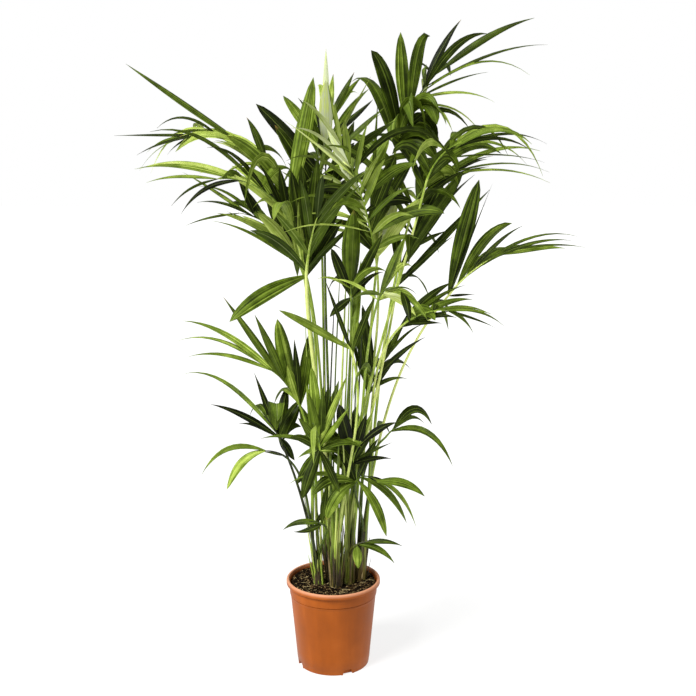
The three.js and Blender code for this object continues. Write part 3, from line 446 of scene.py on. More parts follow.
def leaf_blade_material(name, shades, rib_colour, roughness):
    """Living leaf: a waxy skin with fine lengthwise ribs, a pale midrib, and a dry tip on some leaflets.

    The real ribs lie about 1.5 mm apart, too fine for the render, so eight are drawn across a blade."""
    material, tree, place = new_material(name)
    blade = add(tree, "UVMap", {"uv_map": "blade"})
    uv = add(tree, "SeparateXYZ", links={0: blade})
    # Each leaflet's tone: partly its own green, partly painted shade and painted glow of light through the
    # blade
    tone = add(tree, "Attribute", {"attribute_name": "tone"}).outputs["Fac"]
    dry = add(tree, "Attribute", {"attribute_name": "dry"}).outputs["Fac"]
    mottle = add(tree, "TexNoise", {"Scale": every(35.71), "Detail": 3}, {"Vector": place})
    spread = add(tree, "MapRange", {**NOISE_SPAN, "To Min": -0.1, "To Max": 0.1}, {"Value": mottle})
    rib_wave = add(tree, "Math", {"operation": "MULTIPLY", 1: 8 * math.tau}, {0: uv})
    ribs = add(tree, "Math", {"operation": "SINE"}, {0: rib_wave})
    each = add(tree, "Math", {"operation": "MULTIPLY", 1: 90}, {0: tone})
    lengthwise = add(tree, "Mapping", {"Scale": (14, 0.7, 1)}, {"Vector": blade})
    apart = add(tree, "CombineXYZ", links={2: each})
    lines = add(tree, "VectorMath", {"operation": "ADD"}, {0: lengthwise, 1: apart})
    streaks = add(tree, "TexNoise", {"Scale": 1, "Detail": 3}, {"Vector": lines})
    rib_tone = add(tree, "MapRange", {**NOISE_SPAN, "To Min": -0.17, "To Max": 0.19}, {"Value": streaks})
    shade = add(tree, "Math", {"operation": "ADD"}, {0: tone, 1: spread})
    shade = add(tree, "Math", {"operation": "ADD", "use_clamp": True}, {0: shade, 1: rib_tone})
    green = add(tree, "ValToRGB", {"stops": shades}, {0: shade})
    off_middle = add(tree, "Math", {"operation": "SUBTRACT", 1: 0.5}, {0: uv})
    off_middle = add(tree, "Math", {"operation": "ABSOLUTE"}, {0: off_middle})
    midrib = add(tree, "MapRange", {"From Min": 0.01, "From Max": 0.05, "To Min": 0.22, "To Max": 0},
                 {"Value": off_middle})
    ribbed = add(tree, "Mix", {"data_type": "RGBA", 7: linear(rib_colour)}, {0: midrib, 6: green})
    tip = add(tree, "MapRange", {"From Min": 0.93, "From Max": 1}, {"Value": uv.outputs[1]})
    browned = add(tree, "Math", {"operation": "MULTIPLY", "use_clamp": True}, {0: tip, 1: dry})
    colour = add(tree, "Mix", {"data_type": "RGBA", 7: linear("#8a6a38")}, {0: browned, 6: ribbed.outputs[2]})
    finish_material(tree, {"Roughness": roughness, "IOR": 1.45, "Specular IOR Level": 0.09},
                    {"Base Color": colour.outputs[2]}, ribs, 0.35, 0.6)
    return material


def stalk_material():
    """Stalk skin: smooth, yellow-green with fine lengthwise lines, browner where the old sheath clasps it."""
    material, tree, place = new_material("palm_stalk_skin")
    drawn = add(tree, "Mapping", {"Scale": (1, 1, 0.03)}, {"Vector": place})
    lines = add(tree, "TexNoise", {"Scale": every(2.381), "Detail": 4}, {"Vector": drawn})
    patches = add(tree, "TexNoise", {"Scale": every(71.43), "Detail": 2}, {"Vector": place})
    tone = add(tree, "Attribute", {"attribute_name": "tone"}).outputs["Fac"]
    husk = add(tree, "Attribute", {"attribute_name": "husk"}).outputs["Fac"]
    streak = add(tree, "MapRange", {**NOISE_SPAN, "To Min": -0.2, "To Max": 0.2}, {"Value": lines})
    patch = add(tree, "MapRange", {**NOISE_SPAN, "To Min": -0.15, "To Max": 0.15}, {"Value": patches})
    shade = add(tree, "Math", {"operation": "ADD"}, {0: tone, 1: streak})
    shade = add(tree, "Math", {"operation": "ADD", "use_clamp": True}, {0: shade, 1: patch})
    green = add(tree, "ValToRGB", {"stops": STALK_SHADES}, {0: shade})
    brown = add(tree, "ValToRGB", {"stops": SHEATH_SHADES}, {0: lines})
    worn = add(tree, "Math", {"operation": "ADD", "use_clamp": True}, {0: husk, 1: streak})
    colour = add(tree, "Mix", {"data_type": "RGBA"}, {0: worn, 6: green, 7: brown})
    finish_material(tree, {"Roughness": 0.36, "IOR": 1.45, "Specular IOR Level": 0.35},
                    {"Base Color": colour.outputs[2]}, lines, 0.4, 0.8)
    return material


def husk_material():
    """Dry leaf sheath: matt brown fibre, straw-coloured where it has split and bleached."""
    material, tree, place = new_material("dry_palm_sheath")
    drawn = add(tree, "Mapping", {"Scale": (1, 1, 0.06)}, {"Vector": place})
    fibres = add(tree, "TexNoise", {"Scale": every(1.923), "Detail": 5}, {"Vector": drawn})
    tone = add(tree, "Attribute", {"attribute_name": "tone"}).outputs["Fac"]
    swing = add(tree, "MapRange", {"From Min": 0.25, "From Max": 0.75, "To Min": -0.3, "To Max": 0.3},
                {"Value": fibres})
    shade = add(tree, "Math", {"operation": "ADD", "use_clamp": True}, {0: tone, 1: swing})
    colour = add(tree, "ValToRGB", {"stops": HUSK_SHADES}, {0: shade})
    finish_material(tree, {"Roughness": 0.85}, {"Base Color": colour}, fibres, 0.8, 1.5)
    return material


def polypropylene_material():
    """Injection-moulded polypropylene, terracotta-coloured: satin, a faint cloudiness and a fine mould grain.

    The real grain is about 0.2 mm, drawn at 1 mm so that it shows. The top of the lip is painted paler, a
    painted highlight."""
    material, tree, place = new_material("moulded_polypropylene")
    clouds = add(tree, "TexNoise", {"Scale": every(111.1), "Detail": 3}, {"Vector": place})
    flow = add(tree, "Mapping", {"Scale": (1, 1, 0.12)}, {"Vector": place})
    streaks = add(tree, "TexNoise", {"Scale": every(22.22), "Detail": 2}, {"Vector": flow})
    grain = add(tree, "TexNoise", {"Scale": every(1), "Detail": 2}, {"Vector": place})
    mixed = add(tree, "Math", {"operation": "MULTIPLY_ADD", 1: 0.5}, {0: streaks, 2: clouds})
    colour = add(tree, "ValToRGB", {"stops": POT_SHADES}, {0: mixed})
    up = add(tree, "SeparateXYZ", links={0: place})
    # Painted highlight: the top of the lip is mixed towards pale peach, as if lit from above
    lip = add(tree, "MapRange", {"From Min": (POT_HEIGHT - 8.5) * MM, "From Max": (POT_HEIGHT - 0.5) * MM,
                                 "To Min": 0, "To Max": 0.6}, {"Value": up.outputs[2]})
    painted_lip_highlight = add(tree, "Mix", {"data_type": "RGBA", 7: linear("#e0a684")}, {0: lip, 6: colour})
    rough = add(tree, "MapRange", {**NOISE_SPAN, "To Min": 0.36, "To Max": 0.5}, {"Value": clouds})
    finish_material(tree, {"IOR": 1.49, "Specular IOR Level": 0.16},
                    {"Base Color": painted_lip_highlight.outputs[2], "Roughness": rough}, grain, 0.12, 0.4)
    return material


def peat_material(name, stops):
    """Moist peat and bark: dark, matt, each crumb of its own brown."""
    material, tree, place = new_material(name)
    crumbs = add(tree, "TexNoise", {"Scale": every(3.846), "Detail": 5}, {"Vector": place})
    cells = add(tree, "TexVoronoi", {"Scale": every(5.882)}, {"Vector": place})
    tint = add(tree, "SeparateColor", links={0: cells.outputs["Color"]})
    mixed = add(tree, "Math", {"operation": "MULTIPLY_ADD", 1: 0.5}, {0: tint, 2: crumbs})
    colour = add(tree, "ValToRGB", {"stops": stops}, {0: mixed})
    finish_material(tree, {"Roughness": 0.9, "Specular IOR Level": 0.06}, {"Base Color": colour},
                    crumbs, 0.9, 2)
    return material


def floor_material():
    """Pale studio floor: white acrylic lit from below, with the faintest unevenness."""
    material, tree, place = new_material("backlit_white_acrylic")
    clouds = add(tree, "TexNoise", {"Scale": every(500)}, {"Vector": place})
    colour = add(tree, "ValToRGB", {"stops": [(0.3, "#828280"), (0.7, "#888888")]}, {0: clouds})
    finish_material(tree, {"Roughness": 0.9, "Specular IOR Level": 0.1, "Emission Color": (1, 1, 1, 1),
                           "Emission Strength": 0.8}, {"Base Color": colour})
    return material


LEAF_SHADES = [(0, "#0c1101"), (0.25, "#293604"), (0.5, "#5e731d"), (0.72, "#a7ba52"), (0.88, "#ccd87a"),
               (1, "#c3cba4")]
UNDER_SHADES = [(0, "#26330c"), (0.4, "#51651c"), (0.7, "#8a9c40"), (1, "#c4cc96")]
STALK_SHADES = [(0, "#151c05"), (0.3, "#4a6016"), (0.65, "#90aa34"), (1, "#dbe488")]
SHEATH_SHADES = [(0.25, "#1f170c"), (0.5, "#4b3a1e"), (0.7, "#7d6a3c"), (0.85, "#a99a66")]
HUSK_SHADES = [(0, "#1c150b"), (0.35, "#43351c"), (0.65, "#7b6a3f"), (1, "#c8b884")]
POT_SHADES = [(0.45, "#82400c"), (0.75, "#91480e"), (1, "#a05216")]
PEAT_SHADES = [(0.35, "#010000"), (0.62, "#0c0703"), (0.84, "#241809"), (1, "#5c482c")]
BARK_SHADES = [(0.35, "#020100"), (0.72, "#130c05"), (0.9, "#33240f"), (1, "#95825a")]
LEAF = leaf_blade_material("kentia_leaf_blade", LEAF_SHADES, "#a3b850", 0.4)
LEAF_UNDERSIDE = leaf_blade_material("kentia_leaf_underside", UNDER_SHADES, "#c3cf8a", 0.6)
STALK = stalk_material()
HUSK = husk_material()
POLYPROPYLENE = polypropylene_material()
PEAT = peat_material("moist_peat", PEAT_SHADES)
BARK = peat_material("bark_crumb", BARK_SHADES)
FLOOR = floor_material()


# Shared making

def clamp(value):
    return min(1, max(0, value))


def heading(azimuth, pitch):
    a, p = math.radians(azimuth), math.radians(pitch)
    return Vector((math.cos(a) * math.cos(p), math.sin(a) * math.cos(p), math.sin(p)))


def out_at(turn):
    """The level way out at a turn, in radians."""
    return Vector((math.cos(turn), math.sin(turn), 0))


def along(values, share):
    """A size told at the base, the middle and the tip, or one size all along."""
    if not isinstance(values, tuple):
        return values
    first, middle, last = values
    if share < 0.5:
        return first + (middle - first) * share * 2
    return middle + (last - middle) * (share * 2 - 1)


def show(name, data):
    """A new object with this mesh, light or camera, in the scene."""
    shown = bpy.data.objects.new(name, data)
    bpy.context.scene.collection.objects.link(shown)
    return shown


def new_piece(name, mesh, materials, sharp_angle=40):
    for material in materials:
        mesh.materials.append(material)
    mesh.shade_smooth()
    mesh.set_sharp_from_angle(angle=math.radians(sharp_angle))
    return show(name, mesh)


def from_bmesh(name, bm, materials, sharp_angle=40):
    bmesh.ops.recalc_face_normals(bm, faces=bm.faces[:])
    mesh = bpy.data.meshes.new(name)
    bm.to_mesh(mesh)
    bm.free()
    return new_piece(name, mesh, materials, sharp_angle)


def spray(mesh, name, domain, values):
    """A plain value for each point or each face, which the materials read."""
    mesh.attributes.new(name, "FLOAT", domain).data.foreach_set("value", values)


# Stalks and ribs

def rib_path(one, steps):
    """The rib: short chords whose pitch changes evenly from the throat to the tip."""
    points, ways = [Vector(one.throat)], [heading(one.azimuth, one.pitch[0])]
    bend = one.pitch[1] - one.pitch[0]
    for k in range(steps):
        chord = heading(one.azimuth, one.pitch[0] + bend * (k + 0.5) / steps)
        points.append(points[k] + chord * (one.rib / steps))
        ways.append(heading(one.azimuth, one.pitch[0] + bend * (k + 1) / steps))
    return points, ways


def stalk_feet():
    """Where each stalk stands on its stem: evenly round the top, in the order of the throats."""
    feet = {}
    for index, stem in enumerate(STEMS):
        top = Vector(stem.top)

        def bearing(one):
            return math.atan2(one.throat[1] - top.y, one.throat[0] - top.x)

        grown = sorted((one for one in FRONDS if one.stem == index), key=bearing)
        ring = stem.tip - STALK_FOOT_RADIUS - STALK_RING_MARGIN
        for i, one in enumerate(grown):
            angle = bearing(grown[0]) + i * math.tau / len(grown)
            feet[one.name] = top + Vector((ring * math.cos(angle), ring * math.sin(angle), GAP))
    return feet


def stalk_controls(one, foot, bow):
    """The four control points of a stalk's curve."""
    way = heading(one.azimuth, one.pitch[0])
    throat = Vector(one.throat) - way * GAP
    span = (throat - foot).length
    rise = (throat - foot).normalized()
    rise.z += STALK_UPRIGHT
    low = foot + rise.normalized() * span * STALK_RISE + bow
    high = throat - way * span * STALK_BEND + bow
    return foot, low, high, throat


def bezier(controls, share):
    a, b, c, d = controls
    rest = 1 - share
    return a * rest ** 3 + b * (3 * share * rest ** 2) + c * (3 * share ** 2 * rest) + d * share ** 3


def stalk_radius(share):
    return STALK_FOOT_RADIUS + (STALK_THROAT_RADIUS - STALK_FOOT_RADIUS) * share ** STALK_TAPER_POWER


def chords(points, radius_at):
    """The chords of a path as rows of start, end and radius."""
    last = len(points) - 1
    return np.array([[*points[k], *points[k + 1], radius_at(k / last)] for k in range(last)])


def room(run, placed):
    """The least room between one run of chords and all those already placed."""
    a, b = run[:, None, :], placed[None, :, :]
    u, v, w = a[..., 3:6] - a[..., 0:3], b[..., 3:6] - b[..., 0:3], a[..., 0:3] - b[..., 0:3]
    uu, vv, uv = (u * u).sum(-1), (v * v).sum(-1), (u * v).sum(-1)
    uw, vw = (u * w).sum(-1), (v * w).sum(-1)
    spread = uu * vv - uv * uv
    on_a = np.where(spread > 1e-9, np.clip((uv * vw - vv * uw) / np.maximum(spread, 1e-9), 0, 1), 0)
    on_b = np.clip((uv * on_a + vw) / vv, 0, 1)
    on_a = np.clip((uv * on_b - uw) / uu, 0, 1)
    apart = np.linalg.norm(w + u * on_a[..., None] - v * on_b[..., None], axis=-1)
    return (apart - a[..., 6] - b[..., 6]).min()


def place_stalks():
    """Each stalk keeps its plain curve, or bows aside by the smallest step that clears what is there."""
    feet = stalk_feet()
    bows = [Vector((0, 0, 0))]
    bows += [heading(way * 360 / BOW_WAYS, 0) * (step * BOW_STEP)
             for step in range(1, BOW_TRIES + 1) for way in range(BOW_WAYS)]
    placed = [chords(rib_path(one, RIB_STEPS)[0], lambda share: STALK_THROAT_RADIUS) for one in FRONDS]
    curves = {}
    for index, one in enumerate(FRONDS):
        others = np.concatenate([run for k, run in enumerate(placed) if k != index])
        most = -math.inf
        for bow in bows:
            controls = stalk_controls(one, feet[one.name], bow)
            run = chords([bezier(controls, k / STALK_STEPS) for k in range(STALK_STEPS + 1)], stalk_radius)
            clear = room(run, others)
            if clear > most:
                most, best, best_run = clear, controls, run
            if clear > STALK_CLEARANCE:
                break
        curves[one.name] = best
        placed.append(best_run)
    return curves


def grow_limb(name, rings, sides, materials):
    """A limb: a circle extruded from ring to ring. A ring is its centre, its way and its radius, in mm."""
    bm = bmesh.new()
    lane = bm.verts.layers.int.new("lane")
    bmesh.ops.create_circle(bm, cap_ends=True, segments=sides, radius=1)
    for i, vertex in enumerate(bm.verts):
        vertex[lane] = i
    end = bm.faces[:][0]
    across = Vector((1, 0, 0))
    for k, (centre, way, radius) in enumerate(rings):
        if k > 0:
            grown = bmesh.ops.extrude_face_region(bm, geom=[end], use_keep_orig=k == 1)["geom"]
            end = next(part for part in grown if isinstance(part, bmesh.types.BMFace))
        across = (across - way * across.dot(way)).normalized()
        over = way.cross(across)
        for vertex in end.verts:
            angle = vertex[lane] * math.tau / sides
            round_part = across * math.cos(angle) + over * math.sin(angle)
            vertex.co = (centre + round_part * radius) * MM
    return from_bmesh(name, bm, materials)


def stalk_rings(one, controls):
    """The sheath that clasps the stem, the stalk, and the rib, as one limb."""
    stem = STEMS[one.stem]
    foot = controls[0]
    lean = Vector((foot.x - stem.top[0], foot.y - stem.top[1], 0))
    ground = Vector((*stem.foot, SOIL_TOP - 3)) + lean * SHEATH_SPREAD
    rings = []
    for k in range(SHEATH_RINGS):
        share = k / SHEATH_RINGS
        rings.append((ground.lerp(foot, share), (foot - ground).normalized(),
                      SHEATH_RADIUS - SHEATH_TAPER * share))
    for k in range(STALK_RINGS + 1):
        share = k / STALK_RINGS
        ahead, behind = bezier(controls, min(1, share + 0.01)), bezier(controls, max(0, share - 0.01))
        rings.append((bezier(controls, share), (ahead - behind).normalized(),
                      stalk_radius(share) * one.stout))
    points, ways = rib_path(one, RIB_RINGS)
    for k in range(1, RIB_RINGS + 1):
        rings.append((points[k], ways[k], STALK_THROAT_RADIUS * one.stout * (1 - RIB_TAPER * k / RIB_RINGS)))
    return rings


def bark_spray(piece, stem, brightness, draw, one=None):
    """How brown and how bright each point is. The brown fades out a hand's breadth above the soil."""
    mesh = piece.data
    places = np.empty(len(mesh.vertices) * 3)
    mesh.vertices.foreach_get("co", places)
    places = places.reshape(-1, 3) / MM
    height = places[:, 2]
    rise = (height - SOIL_TOP) / draw.uniform(*BROWN_FADES_OVER)
    spray(mesh, "husk", "POINT", stem.husk * np.clip(1.15 - rise, 0, 1))
    tone = np.full(len(height), float(clamp(brightness + draw.uniform(-0.1, 0.1))))
    tone -= stem.shade * np.clip((SHADE_TOP - height) / SHADE_FADES_OVER, 0, 1)
    if one:
        past = places - np.array(one.throat)
        along_rib = past @ np.array(heading(one.azimuth, sum(one.pitch) / 2))
        near = np.linalg.norm(past, axis=1) < one.rib + 9
        tone -= RIB_DARKER * np.clip(along_rib / RIB_DARK_FROM, 0, 1) * near
    spray(mesh, "tone", "POINT", tone)


# Leaflets

def leaf_half_width(share, slim):
    """Half the outline: narrow at the rib, widest near the middle, and drawn out longer the slimmer it is."""
    widest = LEAF_WIDEST_AT - SLIM_WIDEST_SOONER * slim
    grow = min(1, share / widest)
    rise = LEAF_FOOT_SHARE + (1 - LEAF_FOOT_SHARE) * math.sin(grow * math.pi / 2)
    if share < widest:
        return 0.5 * rise
    past = (share - widest) / (1 - widest)
    return 0.5 * rise * max(0, math.cos(past * math.pi / 2)) ** (LEAF_TIP_POWER + SLIM_TIP_POWER * slim)


def leaf_plan(one, draw):
    """All leaflets of a frond: where each starts, the way it points, and its sizes."""
    points, ways = rib_path(one, RIB_FINE_STEPS)
    plan = []

    def place_leaf(at, **told):
        place = min(LAST_LEAF_AT, at) * RIB_FINE_STEPS
        k = int(place)
        plan.append({"origin": points[k].lerp(points[k + 1], place - k),
                     "forward": ways[k].lerp(ways[k + 1], place - k).normalized(), **told})
        return plan[-1]

    for side, row in ((1, one.left), (-1, one.right)):
        count, spread, length, width, droop = row or (0, 0, 0, 0, 0)
        for i in range(count):
            share = i / max(1, count - 1)
            place_leaf((i + ROW_START[side]) / count if i < count - 1 else 1, side=side,
                       spread=along(spread, share) + draw.uniform(-8, 8),
                       lift=LEAF_LIFT + draw.uniform(-14, 14),
                       length=along(length, share) * draw.uniform(0.84, 1.04),
                       width=along(width, share) * draw.uniform(0.65, 1.12),
                       droop=along(droop, share) * draw.uniform(0.7, 1.35))
    for leaf in one.leaves:
        if isinstance(leaf, Lone):
            place_leaf(**leaf._asdict())
            continue
        at, azimuth, pitch, length, width, droop, tone = leaf
        way = heading(azimuth, pitch)
        way.y += draw.uniform(-SWING, SWING)
        place_leaf(at, length=length * way.length, width=width * FOLDED_WIDER, droop=droop / way.length,
                   heading=way.normalized(), tone=tone)
    for k in range(one.turned):
        way = heading((90, 90, -90)[k % 3] + draw.uniform(-40, 40), draw.uniform(8, 48))
        length, width, droop = draw.uniform(150, 225), draw.uniform(16, 23), draw.uniform(1.1, 2.1)
        leaf = place_leaf(draw.uniform(0.05, 0.95), width=width, droop=droop, heading=way)
        edge = DEPTH[1] if way.y > 0 else DEPTH[0]
        leaf["length"] = max(SHORTEST_TURNED, min(length, (edge - leaf["origin"].y) / way.y * 1.1))
    return plan


def leaf_frame(one, leaf, draw):
    """The way that a leaflet points, and the way that it faces."""
    if "heading" in leaf:
        way = leaf["heading"]
        facing = Vector((0.2, -1, 0.45)) + Vector([draw.uniform(-0.45, 0.45) for _ in range(3)])
        return way, (facing - way * facing.dot(way)).normalized()
    flat = UP.cross(leaf["forward"]).normalized()
    above = leaf["forward"].cross(flat)
    roll = math.radians(one.roll)
    across = flat * math.cos(roll) + above * math.sin(roll)
    over = leaf["forward"].cross(across)
    spread, lift = math.radians(leaf["spread"]), math.radians(leaf["lift"])
    out = across * (leaf["side"] * math.cos(lift)) + over * math.sin(lift)
    way = leaf["forward"] * math.cos(spread) + out * math.sin(spread)
    return way.normalized(), over


def blade_rings(origin, way, over, length, width, droop, twist, fold, thickness, steps=LEAF_STEPS):
    """The rings of one blade, six points each: edge, quarter, midrib, quarter, edge and keel."""
    at = Vector(origin)
    normal = over
    slim = clamp((SLIM_FROM - width) / SLIM_SPAN)
    rings = []
    for k in range(steps + 1):
        share = k / steps
        if k > 0:
            step = way - UP * (droop * ((k - 0.5) / steps) ** DROOP_POWER)
            at = at + step.normalized() * (length / steps)
        forward = (way - UP * (droop * share ** DROOP_POWER)).normalized()
        normal = (normal - forward * normal.dot(forward)).normalized()
        turned = Matrix.Rotation(twist * share, 3, forward) @ normal
        across = forward.cross(turned)
        half = max(0.25, width * leaf_half_width(share, slim))
        left, right = ([at + across * (half * out * side) - turned * (fold * half * down)
                        for out, down in FOLD] for side in (-1, 1))
        rings.append([*left, at + turned * (LEAF_RIDGE * (1 - share)), *right[::-1],
                      at - turned * (thickness * (1 - 0.7 * share))])
    return rings


def join_blades(name, blades, materials):
    """One mesh of many blades. A blade is its rings, its tone and how dry its tip is."""
    points, faces, uvs, tones, dries, sides = [], [], [], [], [], []
    u_ring = [0, 0.25, 0.5, 0.75, 1, 0.5]
    for rings, tone, dry in blades:
        base = len(points)
        last = len(rings) - 1
        shown = len(faces)
        for ring in rings:
            points += [p * MM for p in ring]
        for k in range(last):
            for j in range(6):
                here, there = base + k * 6, base + (k + 1) * 6
                after = (j + 1) % 6
                faces.append((here + j, here + after, there + after, there + j))
                low, high = k / last, (k + 1) / last
                uvs += [u_ring[j], low, u_ring[after], low, u_ring[after], high, u_ring[j], high]
                sides.append(0 if j < 4 else 1)
        for ring, order, v in ((0, range(5, -1, -1), 0), (last, range(6), 1)):
            faces.append(tuple(base + ring * 6 + j for j in order))
            for j in order:
                uvs += [u_ring[j], v]
            sides.append(0)
        tones += [tone] * (len(faces) - shown)
        dries += [dry] * (len(faces) - shown)
    mesh = bpy.data.meshes.new(name)
    mesh.from_pydata(points, [], faces)
    mesh.uv_layers.new(name="blade").data.foreach_set("uv", uvs)
    spray(mesh, "tone", "FACE", tones)
    spray(mesh, "dry", "FACE", dries)
    mesh.polygons.foreach_set("material_index", [min(side, len(materials) - 1) for side in sides])
    return new_piece(name, mesh, materials, 55)


def frond_blades(one, draw):
    """The leaflets of a frond, each with its own tone, partly its green and partly painted shade and painted
    glow, and a dry tip here and there.
    """
    blades = []
    for leaf in leaf_plan(one, draw):
        way, over = leaf_frame(one, leaf, draw)
        rings = blade_rings(leaf["origin"], way, over, leaf["length"], leaf["width"], leaf["droop"],
                            draw.uniform(-0.4, 0.4), draw.uniform(0.12, 0.42), LEAF_THICKNESS)
        tone = clamp(leaf.get("tone", one.tone) + draw.gauss(0, 0.05 if "tone" in leaf else 0.17))
        blades.append((rings, tone, draw.random() if draw.random() < DRY_TIPS else 0))
    return blades


# Pot

def make_pot():
    """A moulded pot: its section spun full round, the drain notches cut and closed behind."""
    def wall(height):
        return POT_FOOT_RADIUS + (POT_NECK_RADIUS - POT_FOOT_RADIUS) * height / POT_NECK_FOOT

    def rounded(centre, radius, first, last, steps=4):
        turn = [math.radians(first + (last - first) * k / steps) for k in range(steps + 1)]
        return [(centre[0] + radius * math.cos(t), centre[1] + radius * math.sin(t)) for t in turn]

    # The foot ring, and up the outside to the bead, the groove and the lip
    under_lip = wall(POT_LIP_FOOT) + POT_STEP
    band = wall(POT_BAND_FOOT)
    section = [(0, 0), (POT_FOOT_RADIUS - 2, 0)]
    section += rounded((POT_FOOT_RADIUS - POT_EDGE_ROUND, POT_EDGE_ROUND), POT_EDGE_ROUND, -80, 0, 3)
    section += [(wall(13.4), 13.4), (wall(14) + 0.5, 14.2), (wall(40) + 0.25, 40), (wall(90), 90),
                (wall(150), 150), (wall(POT_BEAD_FOOT), POT_BEAD_FOOT),
                (wall(POT_BEAD_FOOT + 1), POT_BEAD_FOOT + 1.2),
                (wall(POT_BEAD_FOOT + 2) + 0.35, POT_BEAD_FOOT + 1.8),
                (band, POT_BAND_FOOT - 2.6), (band - POT_GROOVE, POT_BAND_FOOT - 2.2),
                (band - POT_GROOVE, POT_BAND_FOOT - 0.8)]
    section += rounded((band + 0.9, POT_BAND_FOOT + 0.4), 0.7, -70, 10, 3)
    section += [(under_lip - 0.6, POT_LIP_FOOT - 4), (under_lip - 0.9, POT_LIP_FOOT - 0.8)]
    section += rounded((POT_LIP_RADIUS - POT_EDGE_ROUND, POT_LIP_FOOT + 1.2), POT_EDGE_ROUND, -90, 0)
    section += rounded((POT_LIP_RADIUS - POT_LIP_ROUND, POT_HEIGHT - POT_LIP_ROUND), POT_LIP_ROUND, 0, 90, 7)
    section += rounded((POT_LIP_INNER_RADIUS + 1.6, POT_HEIGHT - 1.8), 1.7, 80, 180)
    # Down the inside to the floor
    section += [(under_lip - POT_WALL, POT_HEIGHT - 9), (wall(POT_NECK_FOOT) - POT_WALL, POT_NECK_FOOT - 1),
                (wall(100) - POT_WALL, 100), (wall(POT_FLOOR) - POT_WALL, POT_FLOOR), (0, POT_FLOOR)]
    bm = bmesh.new()
    ring = [bm.verts.new((r * MM, 0, z * MM)) for r, z in section]
    edges = [bm.edges.new(pair) for pair in zip(ring, ring[1:])]
    bmesh.ops.spin(bm, geom=ring + edges, cent=(0, 0, 0), axis=UP, angle=math.tau, steps=POT_SPIN_STEPS,
                   use_merge=True)
    bmesh.ops.remove_doubles(bm, verts=bm.verts[:], dist=0.00001)
    pot = from_bmesh("nursery_pot", bm, [POLYPROPYLENE])
    for label, margin, operation in (("shells", NOTCH["shell"], "UNION"), ("slots", 0, "DIFFERENCE")):
        cutter = notch_blocks(label, margin)
        join = pot.modifiers.new(label, "BOOLEAN")
        join.operation = operation
        join.object = cutter
        pot.data = bpy.data.meshes.new_from_object(pot.evaluated_get(bpy.context.evaluated_depsgraph_get()))
        pot.modifiers.clear()
        bpy.data.objects.remove(cutter)
    pot.data.shade_smooth()
    pot.data.set_sharp_from_angle(angle=math.radians(35))
    return pot


def notch_blocks(name, margin):
    """The four drain notches as blocks with slanted sides, grown by a margin."""
    bm = bmesh.new()
    foot, top = NOTCH["foot"] + margin, NOTCH["top"] + margin
    low, high = (0, NOTCH["height"] + margin) if margin else (-1, NOTCH["height"])
    back = POT_FOOT_RADIUS - NOTCH["depth"] - margin
    front = POT_FOOT_RADIUS - 0.6 if margin else POT_LIP_RADIUS
    for turn in NOTCH_TURNS:
        block = bmesh.ops.create_cube(bm, size=1)["verts"]
        for vertex in block:
            half = foot if vertex.co.z < 0 else top
            vertex.co = Vector((back if vertex.co.x < 0 else front, math.copysign(half, vertex.co.y),
                                low if vertex.co.z < 0 else high)) * MM
        bmesh.ops.rotate(bm, cent=(0, 0, 0), matrix=Matrix.Rotation(math.radians(turn), 3, "Z"), verts=block)
    return from_bmesh(name, bm, [POLYPROPYLENE])


# Soil

def soil_height(x, y):
    """Height of the peat at a place, in mm: lumps of 23, 8 and 3 mm, a little higher towards the wall."""
    here = Vector((x, y, 0))
    lumps = noise.noise(here / 23) * 2.2 + noise.noise(here / 8 + UP * 3) * 1.5
    lumps += noise.noise(here / 3.1) * 0.8
    edge = max(0, (math.hypot(x, y) - 52) / 55)
    return SOIL_TOP - 1 + lumps + 6.5 * edge ** 1.4


def make_soil():
    """A lumpy top in the round of the pot, with a skirt down along the wall and a flat underside."""
    bm = bmesh.new()
    bmesh.ops.create_grid(bm, x_segments=SOIL_GRID, y_segments=SOIL_GRID, size=SOIL_RADIUS * MM)
    outside = [v for v in bm.verts if v.co.length > (SOIL_RADIUS + 0.2) * MM]
    bmesh.ops.delete(bm, geom=outside, context="VERTS")
    rim = [edge for edge in bm.edges if edge.is_boundary]
    skirt = bmesh.ops.extrude_edge_only(bm, edges=rim)["geom"]
    low = {part for part in skirt if isinstance(part, bmesh.types.BMVert)}
    for vertex in bm.verts:
        x, y = vertex.co.x / MM, vertex.co.y / MM
        vertex.co.z = soil_height(x, y) * MM if vertex not in low else (SOIL_TOP - SOIL_SKIRT) * MM
    for vertex in low:
        vertex.co.x *= 0.96
        vertex.co.y *= 0.96
    bottom = [part for part in skirt if isinstance(part, bmesh.types.BMEdge) and part.is_boundary]
    bmesh.ops.contextual_create(bm, geom=bottom)
    return from_bmesh("potting_soil", bm, [PEAT], 80)


def soil_place(reach, draw):
    """A random place on the soil."""
    radius, turn = math.sqrt(draw.random()) * reach, draw.uniform(0, math.tau)
    return radius * math.cos(turn), radius * math.sin(turn)


def scatter_crumbs(draw):
    """Crumbs of bark and peat on the soil, as one mesh of small lumps."""
    bm = bmesh.new()
    for _ in range(CRUMBS):
        x, y = soil_place(CRUMB_REACH, draw)
        size = draw.choice(CRUMB_SIZES) * draw.uniform(0.8, 1.3)
        lump = bmesh.ops.create_icosphere(bm, subdivisions=1, radius=size * MM)["verts"]
        shape = Matrix.Diagonal((draw.uniform(0.7, 1.5), draw.uniform(0.6, 1.2), draw.uniform(0.4, 0.8)))
        spin = (Matrix.Rotation(draw.uniform(0, math.tau), 3, "Z")
                @ Matrix.Rotation(draw.uniform(-0.6, 0.6), 3, "X"))
        for vertex in lump:
            vertex.co = spin @ shape @ (vertex.co * draw.uniform(0.8, 1.15))
            vertex.co += Vector((x, y, soil_height(x, y) + size * 0.25)) * MM
    return from_bmesh("bark_crumbs", bm, [BARK], 25)


